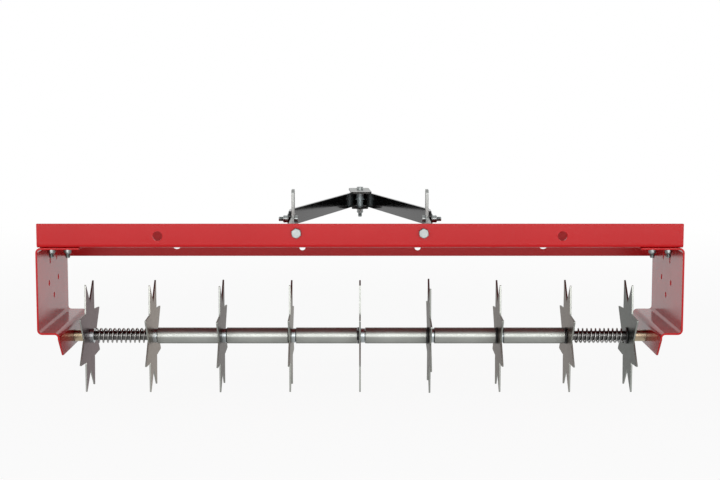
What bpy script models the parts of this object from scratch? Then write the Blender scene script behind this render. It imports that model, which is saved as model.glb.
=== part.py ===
"""Tow-behind spike aerator, in metres.

A pressed tray stands on two bent end brackets. Nine spiked stars, spacer tubes and two springs run on
one axle between the brackets, and a forked drawbar with a swivelling hitch plate pivots on two uprights.
X runs across the machine, Y forwards to the hitch and Z up. The axle's line is y = 0 inside the
machine, whose parts hang on one empty that centres its outer box over the origin.
"""

from math import asin, atan2, cos, hypot, pi, radians, sin, tan

import bmesh
import bpy
from mathutils import Matrix, Vector

FIT = 0.0003

# Tray: one sheet bent to a Z, its rear lip up and its front lip down
TRAY_WIDTH = 1.016
TRAY_DEPTH = 0.254
TRAY_SHEET = 0.0027
TRAY_BEND = 0.0025
REAR_LIP = 0.038
FRONT_LIP = 0.044
LIP_CORNER = 0.004
LIP_HOLE = 0.015
LIP_HOLE_SPREAD = 0.636
LIP_HOLE_EDGE = 0.0193
LIP_BOLT_EDGE = 0.0147

# End brackets: top flange, side plate, step inwards and skirt that carries the axle
BRACKET_SHEET = 0.003
BRACKET_BEND = 0.005
BRACKET_OVERHANG = 0.0024
FLANGE_REACH = 0.0684
SIDE_HEIGHT = 0.1386
STEP_REACH = 0.0354
SKIRT_DROP = 0.038
SKIRT_CUT = 0.030
AXLE_DROP = 0.023
DRAIN_HOLE = 0.0095
DRAIN_SPREAD = 0.076
DRAIN_DROP = 0.068
LOW_DRAIN_DROP = 0.093
SLOT_SPREAD = 0.054
SLOT_DROP = 0.030
SLOT_WIDTH = 0.007
SLOT_HEIGHT = 0.015
BRACKET_BOLT_INSET = 0.016
BRACKET_BOLT_PITCH = 0.026
BRACKET_BOLT_EDGE = 0.035

# Stars, and how far in degrees each has rolled round the axle from standing on two spikes
SPIKES = 8
STAR_RADIUS = 0.0955
ROOT_RADIUS = 0.056
STAR_PLATE = 0.0027
TIP_WIDTH = 0.0026
ROOT_WIDTH = 0.005
HUB_RADIUS = 0.012
HUB_LENGTH = 0.0069
RING_RADIUS = 0.014
RING_LENGTH = 0.0028
STAR_TURNS = (-1.9, -0.8, 0.4, -1.1, -1.4, 5.2, -1.2, -0.3, -1.0)

# Axle line
AXLE_RADIUS = 0.0079
AXLE_CHAMFER = 0.0013
TUBE_RADIUS = 0.0132
TUBE_LENGTH = 0.1016
BUSHING_RADIUS = 0.0095
BUSHING_INBOARD = 0.0205
BUSHING_OUTBOARD = 0.002
END_WASHER_RADIUS = 0.015
END_WASHER_SHEET = 0.002
COTTER_RADIUS = 0.0016
COTTER_LENGTH = 0.030
COTTER_EYE = 0.0042
COTTER_CURL = radians(279)
AXLE_TAIL = 0.008
SPRING_RADIUS = 0.0127
SPRING_WIRE = 0.0028
SPRING_TURNS = 11.5
CURL_POINTS = 10

# Hitch brackets: a long foot along the tray floor with an upright
UPRIGHT_SHEET = 0.0048
UPRIGHT_BEND = 0.003
UPRIGHT_SPREAD = 0.226
UPRIGHT_WIDTH = 0.030
UPRIGHT_HEIGHT = 0.074
UPRIGHT_CORNER = 0.007
FOOT_HEIGHT = 0.029
FOOT_REACH = 0.030
FOOT_BOLT_SPREAD = 0.200
TAB_REACH = 0.030
PIVOT_FORWARD = 0.063
PIVOT_HEIGHT = 0.024

# Drawbar yoke and hitch
YOKE_SHEET = 0.0048
YOKE_HEIGHT = 0.028
YOKE_TAIL = 0.014
YOKE_TAB = 0.030
YOKE_BEND = 0.020
YOKE_CORNER = 0.010
NOSE_REACH = 0.388
NOSE_BEND = 0.0096
NOSE_PLATE_WIDTH = 0.032
NOSE_PLATE_LENGTH = 0.044
NOSE_PLATE_SHEET = 0.003
HITCH_WIDTH = 0.039
HITCH_LENGTH = 0.095
HITCH_SHEET = 0.0037
HITCH_CORNER = 0.005
HITCH_TURN = radians(3.5)
HITCH_PIN_HOLE = 0.013
HITCH_PIN_FORWARD = 0.030
SLEEVE_RADIUS = 0.006
SLEEVE_UPPER_RADIUS = 0.0072
NOSE_WASHER_RADIUS = 0.009
NOSE_WASHER_SHEET = 0.0016

# Bolts, by their thread radius, width across flats and head and nut heights
SMALL_THREAD = 0.00395
SMALL_FLATS = 0.0127
SMALL_HEAD = 0.0053
SMALL_NUT = 0.0075
LARGE_THREAD = 0.00475
LARGE_FLATS = 0.0143
LARGE_HEAD = 0.0062
LARGE_NUT = 0.0083
THREAD_END = 0.0075
WASHER_RADIUS = 0.0092
WASHER_SHEET = 0.0016
SMALL_BOLT = (SMALL_THREAD, SMALL_FLATS, SMALL_HEAD, SMALL_NUT)
LARGE_BOLT = (LARGE_THREAD, LARGE_FLATS, LARGE_HEAD, LARGE_NUT)

# Facets of round shapes
SHAFT_SIDES = 24
BOLT_SIDES = 12
WASHER_SIDES = 18
WIRE_SIDES = 8
EYE_STEPS = 9
CORNER_STEPS = 3
BEND_STEP = radians(22.5)

# Heights and planes that the pieces share
HALF_WIDTH = TRAY_WIDTH / 2
HALF_DEPTH = TRAY_DEPTH / 2
SPIKE_STEP = 2 * pi / SPIKES
TIP_HALF = asin(TIP_WIDTH / 2 / STAR_RADIUS)
MOST_TURN = radians(max(abs(turn) for turn in STAR_TURNS))
AXLE_Z = STAR_RADIUS * cos(SPIKE_STEP / 2 - MOST_TURN - TIP_HALF)
STEP_Z = AXLE_Z + AXLE_DROP
FLANGE_Z = STEP_Z + SIDE_HEIGHT
TRAY_Z = FLANGE_Z + FIT
FLOOR_Z = TRAY_Z + TRAY_SHEET
PIVOT_Z = FLOOR_Z + PIVOT_HEIGHT
REAR_LIP_Z = TRAY_Z + REAR_LIP
FRONT_LIP_Z = TRAY_Z - FRONT_LIP
BRACKET_X = HALF_WIDTH + BRACKET_OVERHANG
SKIRT_X = BRACKET_X - STEP_REACH
UPRIGHT_X = UPRIGHT_SPREAD / 2
TAB_X = UPRIGHT_X + UPRIGHT_SHEET / 2 + FIT + YOKE_SHEET / 2
NOSE_Y = PIVOT_FORWARD + NOSE_REACH
REAR_Y = -HALF_DEPTH - FIT - LARGE_HEAD
HITCH_FRONT = HITCH_LENGTH / 2 * cos(HITCH_TURN) + (HITCH_WIDTH / 2 - HITCH_CORNER) * sin(HITCH_TURN)
FRONT_Y = NOSE_Y + HITCH_FRONT
CENTRE_Y = (REAR_Y + FRONT_Y) / 2
BRACKET_ENDS = (-HALF_DEPTH, HALF_DEPTH - TRAY_SHEET - TRAY_BEND - FIT)


def bore(radius, sides):
    """Corner radius of a faceted hole that clears a shaft of this radius all round."""
    return (radius + FIT) / cos(pi / sides)


def material(name, colour, roughness, metallic):
    """A plain finish: base colour, roughness and metallic value."""
    finish = bpy.data.materials.new(name)
    finish.use_nodes = True
    shader = finish.node_tree.nodes["Principled BSDF"]
    shader.inputs["Base Color"].default_value = (*colour, 1.0)
    shader.inputs["Roughness"].default_value = roughness
    shader.inputs["Metallic"].default_value = metallic
    return finish


def add_object(name, bm, finish, location=(0, 0, 0), parent=None):
    """Close a bmesh into a named object with its faces pointing out."""
    bmesh.ops.recalc_face_normals(bm, faces=bm.faces)
    mesh = bpy.data.meshes.new(name)
    bm.to_mesh(mesh)
    bm.free()
    mesh.shade_smooth()
    mesh.set_sharp_from_angle(angle=radians(35))
    if finish:
        mesh.materials.append(finish)
    return add_mesh(name, mesh, location, parent)


def add_mesh(name, mesh, location, parent):
    """Put a mesh, new or shared, into the scene as one object."""
    item = bpy.data.objects.new(name, mesh)
    item.location = location
    item.parent = parent
    bpy.context.collection.objects.link(item)
    return item


def cut(item, cutters, parent):
    """Take the joined cutters out of an item."""
    tool = add_object(item.name + "_cutter", cutters, None, parent=parent)
    tool.hide_render = True
    tool.display_type = "WIRE"
    modifier = item.modifiers.new("openings", "BOOLEAN")
    modifier.operation = "DIFFERENCE"
    modifier.object = tool


def skin(bm, rings, closed=False):
    """Loft rings of equal point counts, capped at both ends or closed on themselves."""
    rows = [[bm.verts.new(point) for point in ring] for ring in rings]
    following = rows[1:] + rows[:1] if closed else rows[1:]
    for low, high in zip(rows, following):
        for i in range(len(low)):
            j = (i + 1) % len(low)
            bm.faces.new((low[i], low[j], high[j], high[i]))
    if not closed:
        bm.faces.new(rows[0])
        bm.faces.new(rows[-1])


def circle(radius, height, sides):
    """Points of a round ring about the Z axis."""
    return [Vector((radius * cos(2 * pi * i / sides), radius * sin(2 * pi * i / sides), height))
            for i in range(sides)]


def hexagon(flats, height, sides):
    """Points of a hexagonal ring, some on its flats, that pair with a circle's."""
    points = []
    for i in range(sides):
        angle = 2 * pi * i / sides
        off_flat = (angle + pi / 6) % (pi / 3) - pi / 6
        reach = flats / 2 / cos(pi / 6 - abs(off_flat))
        points.append(Vector((reach * cos(angle), reach * sin(angle), height)))
    return points


def aim(bm, first_vert, at, along):
    """Turn the vertices made since first_vert from the Z axis to a direction and move them."""
    turn = Vector((0, 0, 1)).rotation_difference(Vector(along)).to_matrix().to_4x4()
    bm.verts.ensure_lookup_table()
    bmesh.ops.transform(bm, matrix=Matrix.Translation(at) @ turn, verts=bm.verts[first_vert:])


def rod(bm, at, along, radius, length, sides=BOLT_SIDES):
    """A plain round bar from a point along a direction."""
    first = len(bm.verts)
    skin(bm, [circle(radius, 0, sides), circle(radius, length, sides)])
    aim(bm, first, at, along)


def tube(bm, at, along, radius, hole, length, sides):
    """A round tube, washer or sleeve from a point along a direction."""
    first = len(bm.verts)
    skin(bm, [circle(radius, 0, sides), circle(radius, length, sides),
              circle(hole, length, sides), circle(hole, 0, sides)], closed=True)
    aim(bm, first, at, along)


def plain_bolt(bm, at, along, size, length):
    """A hex bolt: its head's underside is at the point, its shank runs along the direction."""
    thread, flats, head, _ = size
    first = len(bm.verts)
    skin(bm, [hexagon(flats, -head, BOLT_SIDES), hexagon(flats, 0, BOLT_SIDES),
              circle(thread, 0, BOLT_SIDES), circle(thread, length, BOLT_SIDES)])
    aim(bm, first, at, along)


def nutted_bolt(bm, at, along, size, grip, washer=WASHER_RADIUS, tail=THREAD_END):
    """A hex bolt with its nut tightened on it, a grip away from its head, over a washer or none."""
    thread, flats, head, nut = size
    first = len(bm.verts)
    rings = [hexagon(flats, -head, BOLT_SIDES), hexagon(flats, 0, BOLT_SIDES),
             circle(thread, 0, BOLT_SIDES), circle(thread, grip, BOLT_SIDES)]
    nut_low = grip
    if washer:
        nut_low += WASHER_SHEET
        rings += [circle(washer, grip, BOLT_SIDES), circle(washer, nut_low, BOLT_SIDES)]
    nut_high = nut_low + nut
    rings += [hexagon(flats, nut_low, BOLT_SIDES), hexagon(flats, nut_high, BOLT_SIDES),
              circle(thread, nut_high, BOLT_SIDES), circle(thread, nut_high + tail, BOLT_SIDES)]
    skin(bm, rings)
    aim(bm, first, at, along)


def washered_nut(bm, at, along, size):
    """A lock nut with its washer, whose outer face is at the point, round a shank."""
    thread, flats, _, nut = size
    first = len(bm.verts)
    hole = bore(thread, BOLT_SIDES)
    high = WASHER_SHEET + nut
    skin(bm, [circle(WASHER_RADIUS, 0, BOLT_SIDES), circle(WASHER_RADIUS, WASHER_SHEET, BOLT_SIDES),
              hexagon(flats, WASHER_SHEET, BOLT_SIDES), hexagon(flats, high, BOLT_SIDES),
              circle(hole, high, BOLT_SIDES), circle(hole, 0, BOLT_SIDES)], closed=True)
    aim(bm, first, at, along)


def bent_outline(path, sheet, bends):
    """Outline of a strip of even thickness whose corners turn with the given inner radii."""
    points = [Vector(point) for point in path]
    line = []
    for i, corner in enumerate(points):
        before = (corner - points[i - 1]).normalized() if i else None
        after = (points[i + 1] - corner).normalized() if i < len(points) - 1 else None
        heading = before or after
        normal = Vector((-heading.y, heading.x))
        if before is None or after is None:
            line.append((corner, normal))
            continue
        turn = atan2(before.x * after.y - before.y * after.x, before.dot(after))
        radius = bends[i - 1] + sheet / 2
        side = radius if turn > 0 else -radius
        start = corner - before * radius * tan(abs(turn) / 2)
        centre = start + normal * side
        steps = max(2, round(abs(turn) / BEND_STEP))
        for step in range(steps + 1):
            angle = turn * step / steps
            swung = Vector((normal.x * cos(angle) - normal.y * sin(angle),
                            normal.x * sin(angle) + normal.y * cos(angle)))
            line.append((centre - swung * side, swung))
    near_side = [point + normal * sheet / 2 for point, normal in line]
    far_side = [point - normal * sheet / 2 for point, normal in reversed(line)]
    return near_side + far_side


def prism(bm, outline, axis, start, end):
    """Extrude a flat outline along X, Y or Z; it lies in the other two axes, in their order."""
    places = {"X": lambda u, v, w: (w, u, v), "Y": lambda u, v, w: (u, w, v), "Z": lambda u, v, w: (u, v, w)}
    place = places[axis]
    face = bm.faces.new([bm.verts.new(place(u, v, start)) for u, v in outline])
    grown = bmesh.ops.extrude_face_region(bm, geom=[face])
    moved = [item for item in grown["geom"] if isinstance(item, bmesh.types.BMVert)]
    bmesh.ops.translate(bm, vec=place(0, 0, end - start), verts=moved)


def round_edges(bm, chosen, radius):
    """Round the edges for which chosen(middle, direction) is true."""
    edges = []
    for edge in bm.edges:
        low, high = edge.verts[0].co, edge.verts[1].co
        if chosen((low + high) / 2, (high - low).normalized()):
            edges.append(edge)
    bmesh.ops.bevel(bm, geom=edges, offset=radius, segments=CORNER_STEPS, profile=0.5, affect="EDGES",
                    material=-1)


def tray_bolt_spots():
    """Where the end brackets bolt to the tray: x and y of each bolt."""
    spots = []
    for side in (-1, 1):
        for row in (0, 1):
            for end in (-1, 1):
                inset = BRACKET_BOLT_INSET + row * BRACKET_BOLT_PITCH
                spots.append((side * (HALF_WIDTH - inset), end * (HALF_DEPTH - BRACKET_BOLT_EDGE)))
    return spots


def tab_bolt_spots():
    """Where the hitch brackets' tabs bolt to the tray floor: x and y of each bolt."""
    x = UPRIGHT_X - UPRIGHT_SHEET / 2 - TAB_REACH / 2
    return [(-x, PIVOT_FORWARD), (x, PIVOT_FORWARD)]


def build_tray(red, parent):
    """The Z-shaped tray with its lip and floor holes, its sheet divided where the bays for weights end."""
    rear = -HALF_DEPTH + TRAY_SHEET / 2
    front = HALF_DEPTH - TRAY_SHEET / 2
    floor = TRAY_Z + TRAY_SHEET / 2
    path = [(rear, REAR_LIP_Z), (rear, floor), (front, floor), (front, FRONT_LIP_Z)]
    outline = bent_outline(path, TRAY_SHEET, [TRAY_BEND, TRAY_BEND])
    bay = (UPRIGHT_X + UPRIGHT_SHEET / 2, BRACKET_X - FLANGE_REACH, HALF_WIDTH)
    stations = [-x for x in reversed(bay)] + list(bay)
    bm = bmesh.new()
    skin(bm, [[(x, y, z) for y, z in outline] for x in stations])

    def lip_corner(middle, direction):
        at_end = abs(abs(middle.x) - HALF_WIDTH) < FIT and abs(direction.y) > 0.99
        return at_end and (middle.z > REAR_LIP_Z - FIT or middle.z < FRONT_LIP_Z + FIT)

    round_edges(bm, lip_corner, LIP_CORNER)
    tray = add_object("tray", bm, red, parent=parent)

    cutters = bmesh.new()
    through = 2 * TRAY_SHEET
    bolt_hole = bore(LARGE_THREAD, BOLT_SIDES)
    for side in (-1, 1):
        for lip_y, edge_z, inward in ((rear, REAR_LIP_Z, -1), (front, FRONT_LIP_Z, 1)):
            start = lip_y - through / 2
            hole = (side * LIP_HOLE_SPREAD / 2, start, edge_z + inward * LIP_HOLE_EDGE)
            rod(cutters, hole, (0, 1, 0), LIP_HOLE / 2, through, SHAFT_SIDES)
            hole = (side * FOOT_BOLT_SPREAD / 2, start, edge_z + inward * LIP_BOLT_EDGE)
            rod(cutters, hole, (0, 1, 0), bolt_hole, through)
    for x, y in tray_bolt_spots() + tab_bolt_spots():
        rod(cutters, (x, y, floor - through / 2), (0, 0, 1), bore(SMALL_THREAD, BOLT_SIDES), through)
    cut(tray, cutters, parent)


def build_end_bracket(name, side, red, parent):
    """One end bracket; side is 1 on the right and -1 on the left."""
    half = BRACKET_SHEET / 2
    outer = BRACKET_X - half
    skirt = SKIRT_X + half
    path = [(BRACKET_X - FLANGE_REACH, FLANGE_Z - half), (outer, FLANGE_Z - half), (outer, STEP_Z + half),
            (skirt, STEP_Z + half), (skirt, STEP_Z - SKIRT_DROP)]
    outline = bent_outline(path, BRACKET_SHEET, [BRACKET_BEND] * 3)
    bm = bmesh.new()
    prism(bm, [(side * x, z) for x, z in outline], "Y", *BRACKET_ENDS)
    bracket = add_object(name, bm, red, parent=parent)

    cutters = bmesh.new()
    through = 3 * BRACKET_SHEET
    across = (side, 0, 0)
    plate = side * (outer - through / 2)
    for end, edge in zip((-1, 1), BRACKET_ENDS):
        rod(cutters, (plate, end * DRAIN_SPREAD / 2, FLANGE_Z - DRAIN_DROP), across, DRAIN_HOLE / 2, through)
        slot_y, slot_z = end * SLOT_SPREAD / 2, FLANGE_Z - SLOT_DROP
        slot = []
        for i in range(BOLT_SIDES):
            angle = 2 * pi * (i + 0.5) / BOLT_SIDES
            lift = (SLOT_HEIGHT - SLOT_WIDTH) / 2 * (1 if sin(angle) > 0 else -1)
            slot.append((slot_y + SLOT_WIDTH / 2 * cos(angle), slot_z + lift + SLOT_WIDTH / 2 * sin(angle)))
        prism(cutters, slot, "X", plate, plate + side * through)
        corner_z = STEP_Z - SKIRT_DROP - FIT
        edge += end * FIT
        wedge = [(edge, corner_z), (edge, corner_z + SKIRT_CUT), (edge - end * SKIRT_CUT, corner_z)]
        prism(cutters, wedge, "X", side * (skirt - through / 2), side * (skirt + through / 2))
    rod(cutters, (plate, 0, FLANGE_Z - LOW_DRAIN_DROP), across, DRAIN_HOLE / 2, through)
    hole = bore(BUSHING_RADIUS, SHAFT_SIDES)
    rod(cutters, (side * (skirt - through / 2), 0, AXLE_Z), across, hole, through, SHAFT_SIDES)
    for x, y in tray_bolt_spots():
        if x * side > 0:
            start = FLANGE_Z - half - through / 2
            rod(cutters, (x, y, start), (0, 0, 1), bore(SMALL_THREAD, BOLT_SIDES), through)
    cut(bracket, cutters, parent)


def build_bracket_bolts(zinc, parent):
    """Bolts from the tray floor down through the brackets' flanges, nutted below."""
    grip = TRAY_SHEET + BRACKET_SHEET + 3 * FIT
    for number, (x, y) in enumerate(tray_bolt_spots(), start=1):
        bm = bmesh.new()
        nutted_bolt(bm, (0, 0, 0), (0, 0, -1), SMALL_BOLT, grip)
        add_object(f"bracket_bolt_{number}", bm, zinc, (x, y, FLOOR_Z + FIT), parent)


def star_rings():
    """Rings of a star: spiked plate, hub collar on its right and bore, lofted round the X axis."""
    plate, collar, eye = [], [], []
    hole = bore(AXLE_RADIUS, 4 * SPIKES)
    root_half = asin(ROOT_WIDTH / 2 / ROOT_RADIUS)
    for spike in range(SPIKES):
        tip = SPIKE_STEP * (spike + 0.5)
        root = tip + SPIKE_STEP / 2
        corners = ((tip - TIP_HALF, STAR_RADIUS), (tip + TIP_HALF, STAR_RADIUS),
                   (root - root_half, ROOT_RADIUS), (root + root_half, ROOT_RADIUS))
        for number, (angle, radius) in enumerate(corners):
            even = tip + (number - 0.5) * SPIKE_STEP / 4
            plate.append((radius, angle))
            collar.append((HUB_RADIUS, even))
            eye.append((hole, even))

    def ring(points, x):
        return [Vector((x, radius * sin(angle), radius * cos(angle))) for radius, angle in points]

    back, front = -STAR_PLATE / 2, STAR_PLATE / 2
    end = front + HUB_LENGTH
    return [ring(plate, back), ring(plate, front), ring(collar, front), ring(collar, end), ring(eye, end),
            ring(eye, back)]


def star_places():
    """The x of each star: seven set apart by tubes, one at each end against its bushing."""
    pitch = TUBE_LENGTH + STAR_PLATE + HUB_LENGTH + RING_LENGTH + 3 * FIT
    middle = (len(STAR_TURNS) - 1) / 2
    places = [(number - middle) * pitch for number in range(len(STAR_TURNS))]
    bushing_end = SKIRT_X - BUSHING_INBOARD
    places[0] = -bushing_end + FIT + RING_LENGTH + FIT + STAR_PLATE / 2
    places[-1] = bushing_end - FIT - HUB_LENGTH - STAR_PLATE / 2
    return places


def build_stars(star_zinc, black, parent):
    """Stars with their thrust rings, each star on its own turning empty."""
    bm = bmesh.new()
    skin(bm, star_rings(), closed=True)
    first = None
    ring_mesh = None
    for number, (x, turn) in enumerate(zip(star_places(), STAR_TURNS), start=1):
        turning = bpy.data.objects.new(f"star_axis_{number}", None)
        turning.location = (x, 0, AXLE_Z)
        turning.rotation_euler.x = radians(turn)
        turning.parent = parent
        bpy.context.collection.objects.link(turning)
        back = (-STAR_PLATE / 2 - FIT - RING_LENGTH, 0, 0)
        if first is None:
            first = add_object(f"star_{number}", bm, star_zinc, parent=turning).data
            ring = bmesh.new()
            hole = bore(AXLE_RADIUS, WASHER_SIDES)
            tube(ring, (0, 0, 0), (1, 0, 0), RING_RADIUS, hole, RING_LENGTH, WASHER_SIDES)
            ring_mesh = add_object(f"thrust_ring_{number}", ring, black, back, turning).data
        else:
            add_mesh(f"star_{number}", first, (0, 0, 0), turning)
            add_mesh(f"thrust_ring_{number}", ring_mesh, back, turning)


def build_tubes(satin_zinc, parent):
    """Spacer tubes between the seven inner stars."""
    bm = bmesh.new()
    tube(bm, (0, 0, 0), (1, 0, 0), TUBE_RADIUS, bore(AXLE_RADIUS, SHAFT_SIDES), TUBE_LENGTH, SHAFT_SIDES)
    shared = None
    for number, x in enumerate(star_places()[1:-2], start=1):
        place = (x + STAR_PLATE / 2 + HUB_LENGTH + FIT, 0, AXLE_Z)
        if shared is None:
            shared = add_object(f"spacer_tube_{number}", bm, satin_zinc, place, parent).data
        else:
            add_mesh(f"spacer_tube_{number}", shared, place, parent)


def spring_points(length):
    """Centre line of a spring along X: straight ends square to their seats, even curls between."""
    mean = SPRING_RADIUS - SPRING_WIRE / 2
    steps = round(SPRING_TURNS * CURL_POINTS)
    body = length - 2 * SPRING_WIRE
    curls = []
    for step in range(steps + 1):
        angle = 2 * pi * SPRING_TURNS * step / steps
        curls.append(Vector((SPRING_WIRE + body * step / steps, mean * sin(angle), mean * cos(angle))))
    start = Vector((0, curls[0].y, curls[0].z))
    end = Vector((length, curls[-1].y, curls[-1].z))
    return [start] + curls + [end]


def least_gap(points):
    """Least free distance between one curl's wire and the next ones'."""
    apart = CURL_POINTS // 2
    nearest = min((points[i] - points[j]).length
                  for i in range(len(points)) for j in range(i + apart, len(points)))
    return nearest - SPRING_WIRE


def build_spring(name, start, end, steel, parent):
    """One compression spring round the axle, from start to end along X."""
    points = spring_points(end - start)
    print(name, "least gap to itself, mm:", round(least_gap(points) * 1000, 2))
    curve = bpy.data.curves.new(name, "CURVE")
    curve.dimensions = "3D"
    curve.bevel_depth = SPRING_WIRE / 2
    curve.bevel_resolution = 1
    curve.use_fill_caps = True
    spline = curve.splines.new("POLY")
    spline.points.add(len(points) - 1)
    for slot, point in zip(spline.points, points):
        slot.co = (*point, 1)
    curve.materials.append(steel)
    add_mesh(name, curve, (start, 0, AXLE_Z), parent)


def build_springs(steel, parent):
    """The two springs between each end star and its neighbour."""
    places = star_places()
    hub_end = STAR_PLATE / 2 + HUB_LENGTH + FIT
    ring_end = STAR_PLATE / 2 + FIT + RING_LENGTH + FIT
    build_spring("spring_left", places[0] + hub_end, places[1] - ring_end, steel, parent)
    build_spring("spring_right", places[-2] + hub_end, places[-1] - ring_end, steel, parent)


def build_axle(steel, yellow, zinc, parent):
    """Axle with its bushings, end washers and cotter pins."""
    bushing_end = SKIRT_X + BRACKET_SHEET + BUSHING_OUTBOARD
    washer_x = bushing_end + FIT
    cotter_x = washer_x + END_WASHER_SHEET + FIT + COTTER_RADIUS
    half_length = cotter_x + AXLE_TAIL
    full_length = half_length - AXLE_CHAMFER
    bm = bmesh.new()
    skin(bm, [circle(AXLE_RADIUS - AXLE_CHAMFER, -half_length, SHAFT_SIDES),
              circle(AXLE_RADIUS, -full_length, SHAFT_SIDES),
              circle(AXLE_RADIUS, full_length, SHAFT_SIDES),
              circle(AXLE_RADIUS - AXLE_CHAMFER, half_length, SHAFT_SIDES)])
    aim(bm, 0, (0, 0, 0), (1, 0, 0))
    axle = add_object("axle", bm, steel, (0, 0, AXLE_Z), parent)
    cutters = bmesh.new()
    length = BUSHING_INBOARD + BRACKET_SHEET + BUSHING_OUTBOARD
    for hand, side in (("left", -1), ("right", 1)):
        along = (side, 0, 0)
        hole = bore(COTTER_RADIUS, BOLT_SIDES)
        rod(cutters, (side * cotter_x, 0, AXLE_Z - 2 * AXLE_RADIUS), (0, 0, 1), hole, 4 * AXLE_RADIUS)
        washer = bmesh.new()
        tube(washer, (0, 0, 0), along, END_WASHER_RADIUS, bore(AXLE_RADIUS, WASHER_SIDES),
             END_WASHER_SHEET, WASHER_SIDES)
        add_object(f"axle_washer_{hand}", washer, zinc, (side * washer_x, 0, AXLE_Z), parent)
        sleeve = bmesh.new()
        tube(sleeve, (0, 0, 0), along, BUSHING_RADIUS, bore(AXLE_RADIUS, SHAFT_SIDES), length, SHAFT_SIDES)
        place = (side * (SKIRT_X - BUSHING_INBOARD), 0, AXLE_Z)
        add_object(f"bushing_{hand}", sleeve, yellow, place, parent)
        pin = bmesh.new()
        cotter(pin)
        add_object(f"cotter_pin_{hand}", pin, zinc, (side * cotter_x, 0, AXLE_Z), parent)
    cut(axle, cutters, parent)


def cotter(bm):
    """One cotter pin: a wire down through the axle that curls to an eye on top."""
    reach = AXLE_RADIUS + FIT
    path = [Vector((0, 0, reach - COTTER_LENGTH)), Vector((0, 0, reach))]
    for step in range(1, EYE_STEPS + 1):
        angle = COTTER_CURL * step / EYE_STEPS
        path.append(Vector((0, COTTER_EYE * sin(angle), reach + COTTER_EYE * (1 - cos(angle)))))
    rings = []
    for i, point in enumerate(path):
        ahead = path[min(i + 1, len(path) - 1)] - path[max(i - 1, 0)]
        ahead.normalize()
        across = Vector((1, 0, 0))
        up = ahead.cross(across)
        rings.append([point + across * spot.x + up * spot.y for spot in circle(COTTER_RADIUS, 0, WIRE_SIDES)])
    skin(bm, rings)


def build_hitch_bracket(name, side, zinc, parent):
    """A plate along the tray floor: foot on the rear lip, floor tab and upright for the drawbar."""
    half = UPRIGHT_SHEET / 2
    base = FLOOR_Z + FIT
    foot_y = -HALF_DEPTH + TRAY_SHEET + FIT + half
    front = PIVOT_FORWARD + UPRIGHT_WIDTH / 2
    rear = PIVOT_FORWARD - UPRIGHT_WIDTH / 2
    top = FLOOR_Z + UPRIGHT_HEIGHT
    path = [(UPRIGHT_X + half - FOOT_REACH, foot_y), (UPRIGHT_X, foot_y), (UPRIGHT_X, front)]
    outline = bent_outline(path, UPRIGHT_SHEET, [UPRIGHT_BEND])
    bm = bmesh.new()
    prism(bm, [(side * x, y) for x, y in outline], "Z", base, top)

    def upright_corner(middle, direction):
        return middle.y > front - FIT and middle.z > top - FIT and abs(direction.x) > 0.99

    round_edges(bm, upright_corner, UPRIGHT_CORNER)
    plate = add_object(name, bm, zinc, parent=parent)

    tab = bmesh.new()
    inner = UPRIGHT_X - half - TAB_REACH
    outline = [(inner, rear), (UPRIGHT_X, rear), (UPRIGHT_X, front), (inner, front)]
    prism(tab, [(side * x, y) for x, y in outline], "Z", base, base + UPRIGHT_SHEET)

    def tab_corner(middle, direction):
        return abs(middle.x) < inner + FIT and abs(direction.z) > 0.99

    round_edges(tab, tab_corner, UPRIGHT_CORNER)
    welded = add_object(name + "_tab", tab, None, parent=parent)
    welded.hide_render = True
    welded.display_type = "WIRE"
    join = plate.modifiers.new("floor_tab", "BOOLEAN")
    join.operation = "UNION"
    join.object = welded

    cutters = bmesh.new()
    foot_top = FLOOR_Z + FOOT_HEIGHT
    clear = UPRIGHT_SHEET
    rise = top + clear
    notch = [(foot_y - UPRIGHT_SHEET, foot_top), (rear - UPRIGHT_CORNER, foot_top)]
    quarter = [pi / 2 * step / CORNER_STEPS for step in range(CORNER_STEPS + 1)]
    for angle in quarter[1:]:
        notch.append((rear - UPRIGHT_CORNER * (1 - sin(angle)), foot_top + UPRIGHT_CORNER * (1 - cos(angle))))
    for angle in quarter:
        notch.append((rear + UPRIGHT_CORNER * (1 - cos(angle)), top - UPRIGHT_CORNER * (1 - sin(angle))))
    notch += [(rear + UPRIGHT_CORNER, rise), (foot_y - UPRIGHT_SHEET, rise)]
    low_x, high_x = UPRIGHT_X + half - FOOT_REACH - clear, UPRIGHT_X + half + clear
    prism(cutters, notch, "X", side * low_x, side * high_x)
    bend_y = -HALF_DEPTH + TRAY_SHEET + TRAY_BEND
    relief = [(foot_y - clear, base - clear), (bend_y, base - clear), (bend_y, FLOOR_Z + TRAY_BEND),
              (foot_y - clear, FLOOR_Z + TRAY_BEND)]
    prism(cutters, relief, "X", side * low_x, side * high_x)
    through = 3 * UPRIGHT_SHEET
    rod(cutters, (side * FOOT_BOLT_SPREAD / 2, foot_y - through / 2, REAR_LIP_Z - LIP_BOLT_EDGE), (0, 1, 0),
        bore(LARGE_THREAD, BOLT_SIDES), through)
    rod(cutters, (side * (UPRIGHT_X - through / 2), PIVOT_FORWARD, PIVOT_Z), (side, 0, 0),
        bore(SMALL_THREAD, BOLT_SIDES), through)
    for x, y in tab_bolt_spots():
        if x * side > 0:
            rod(cutters, (x, y, base - clear), (0, 0, 1), bore(SMALL_THREAD, BOLT_SIDES), through)
    cut(plate, cutters, parent)


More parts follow.
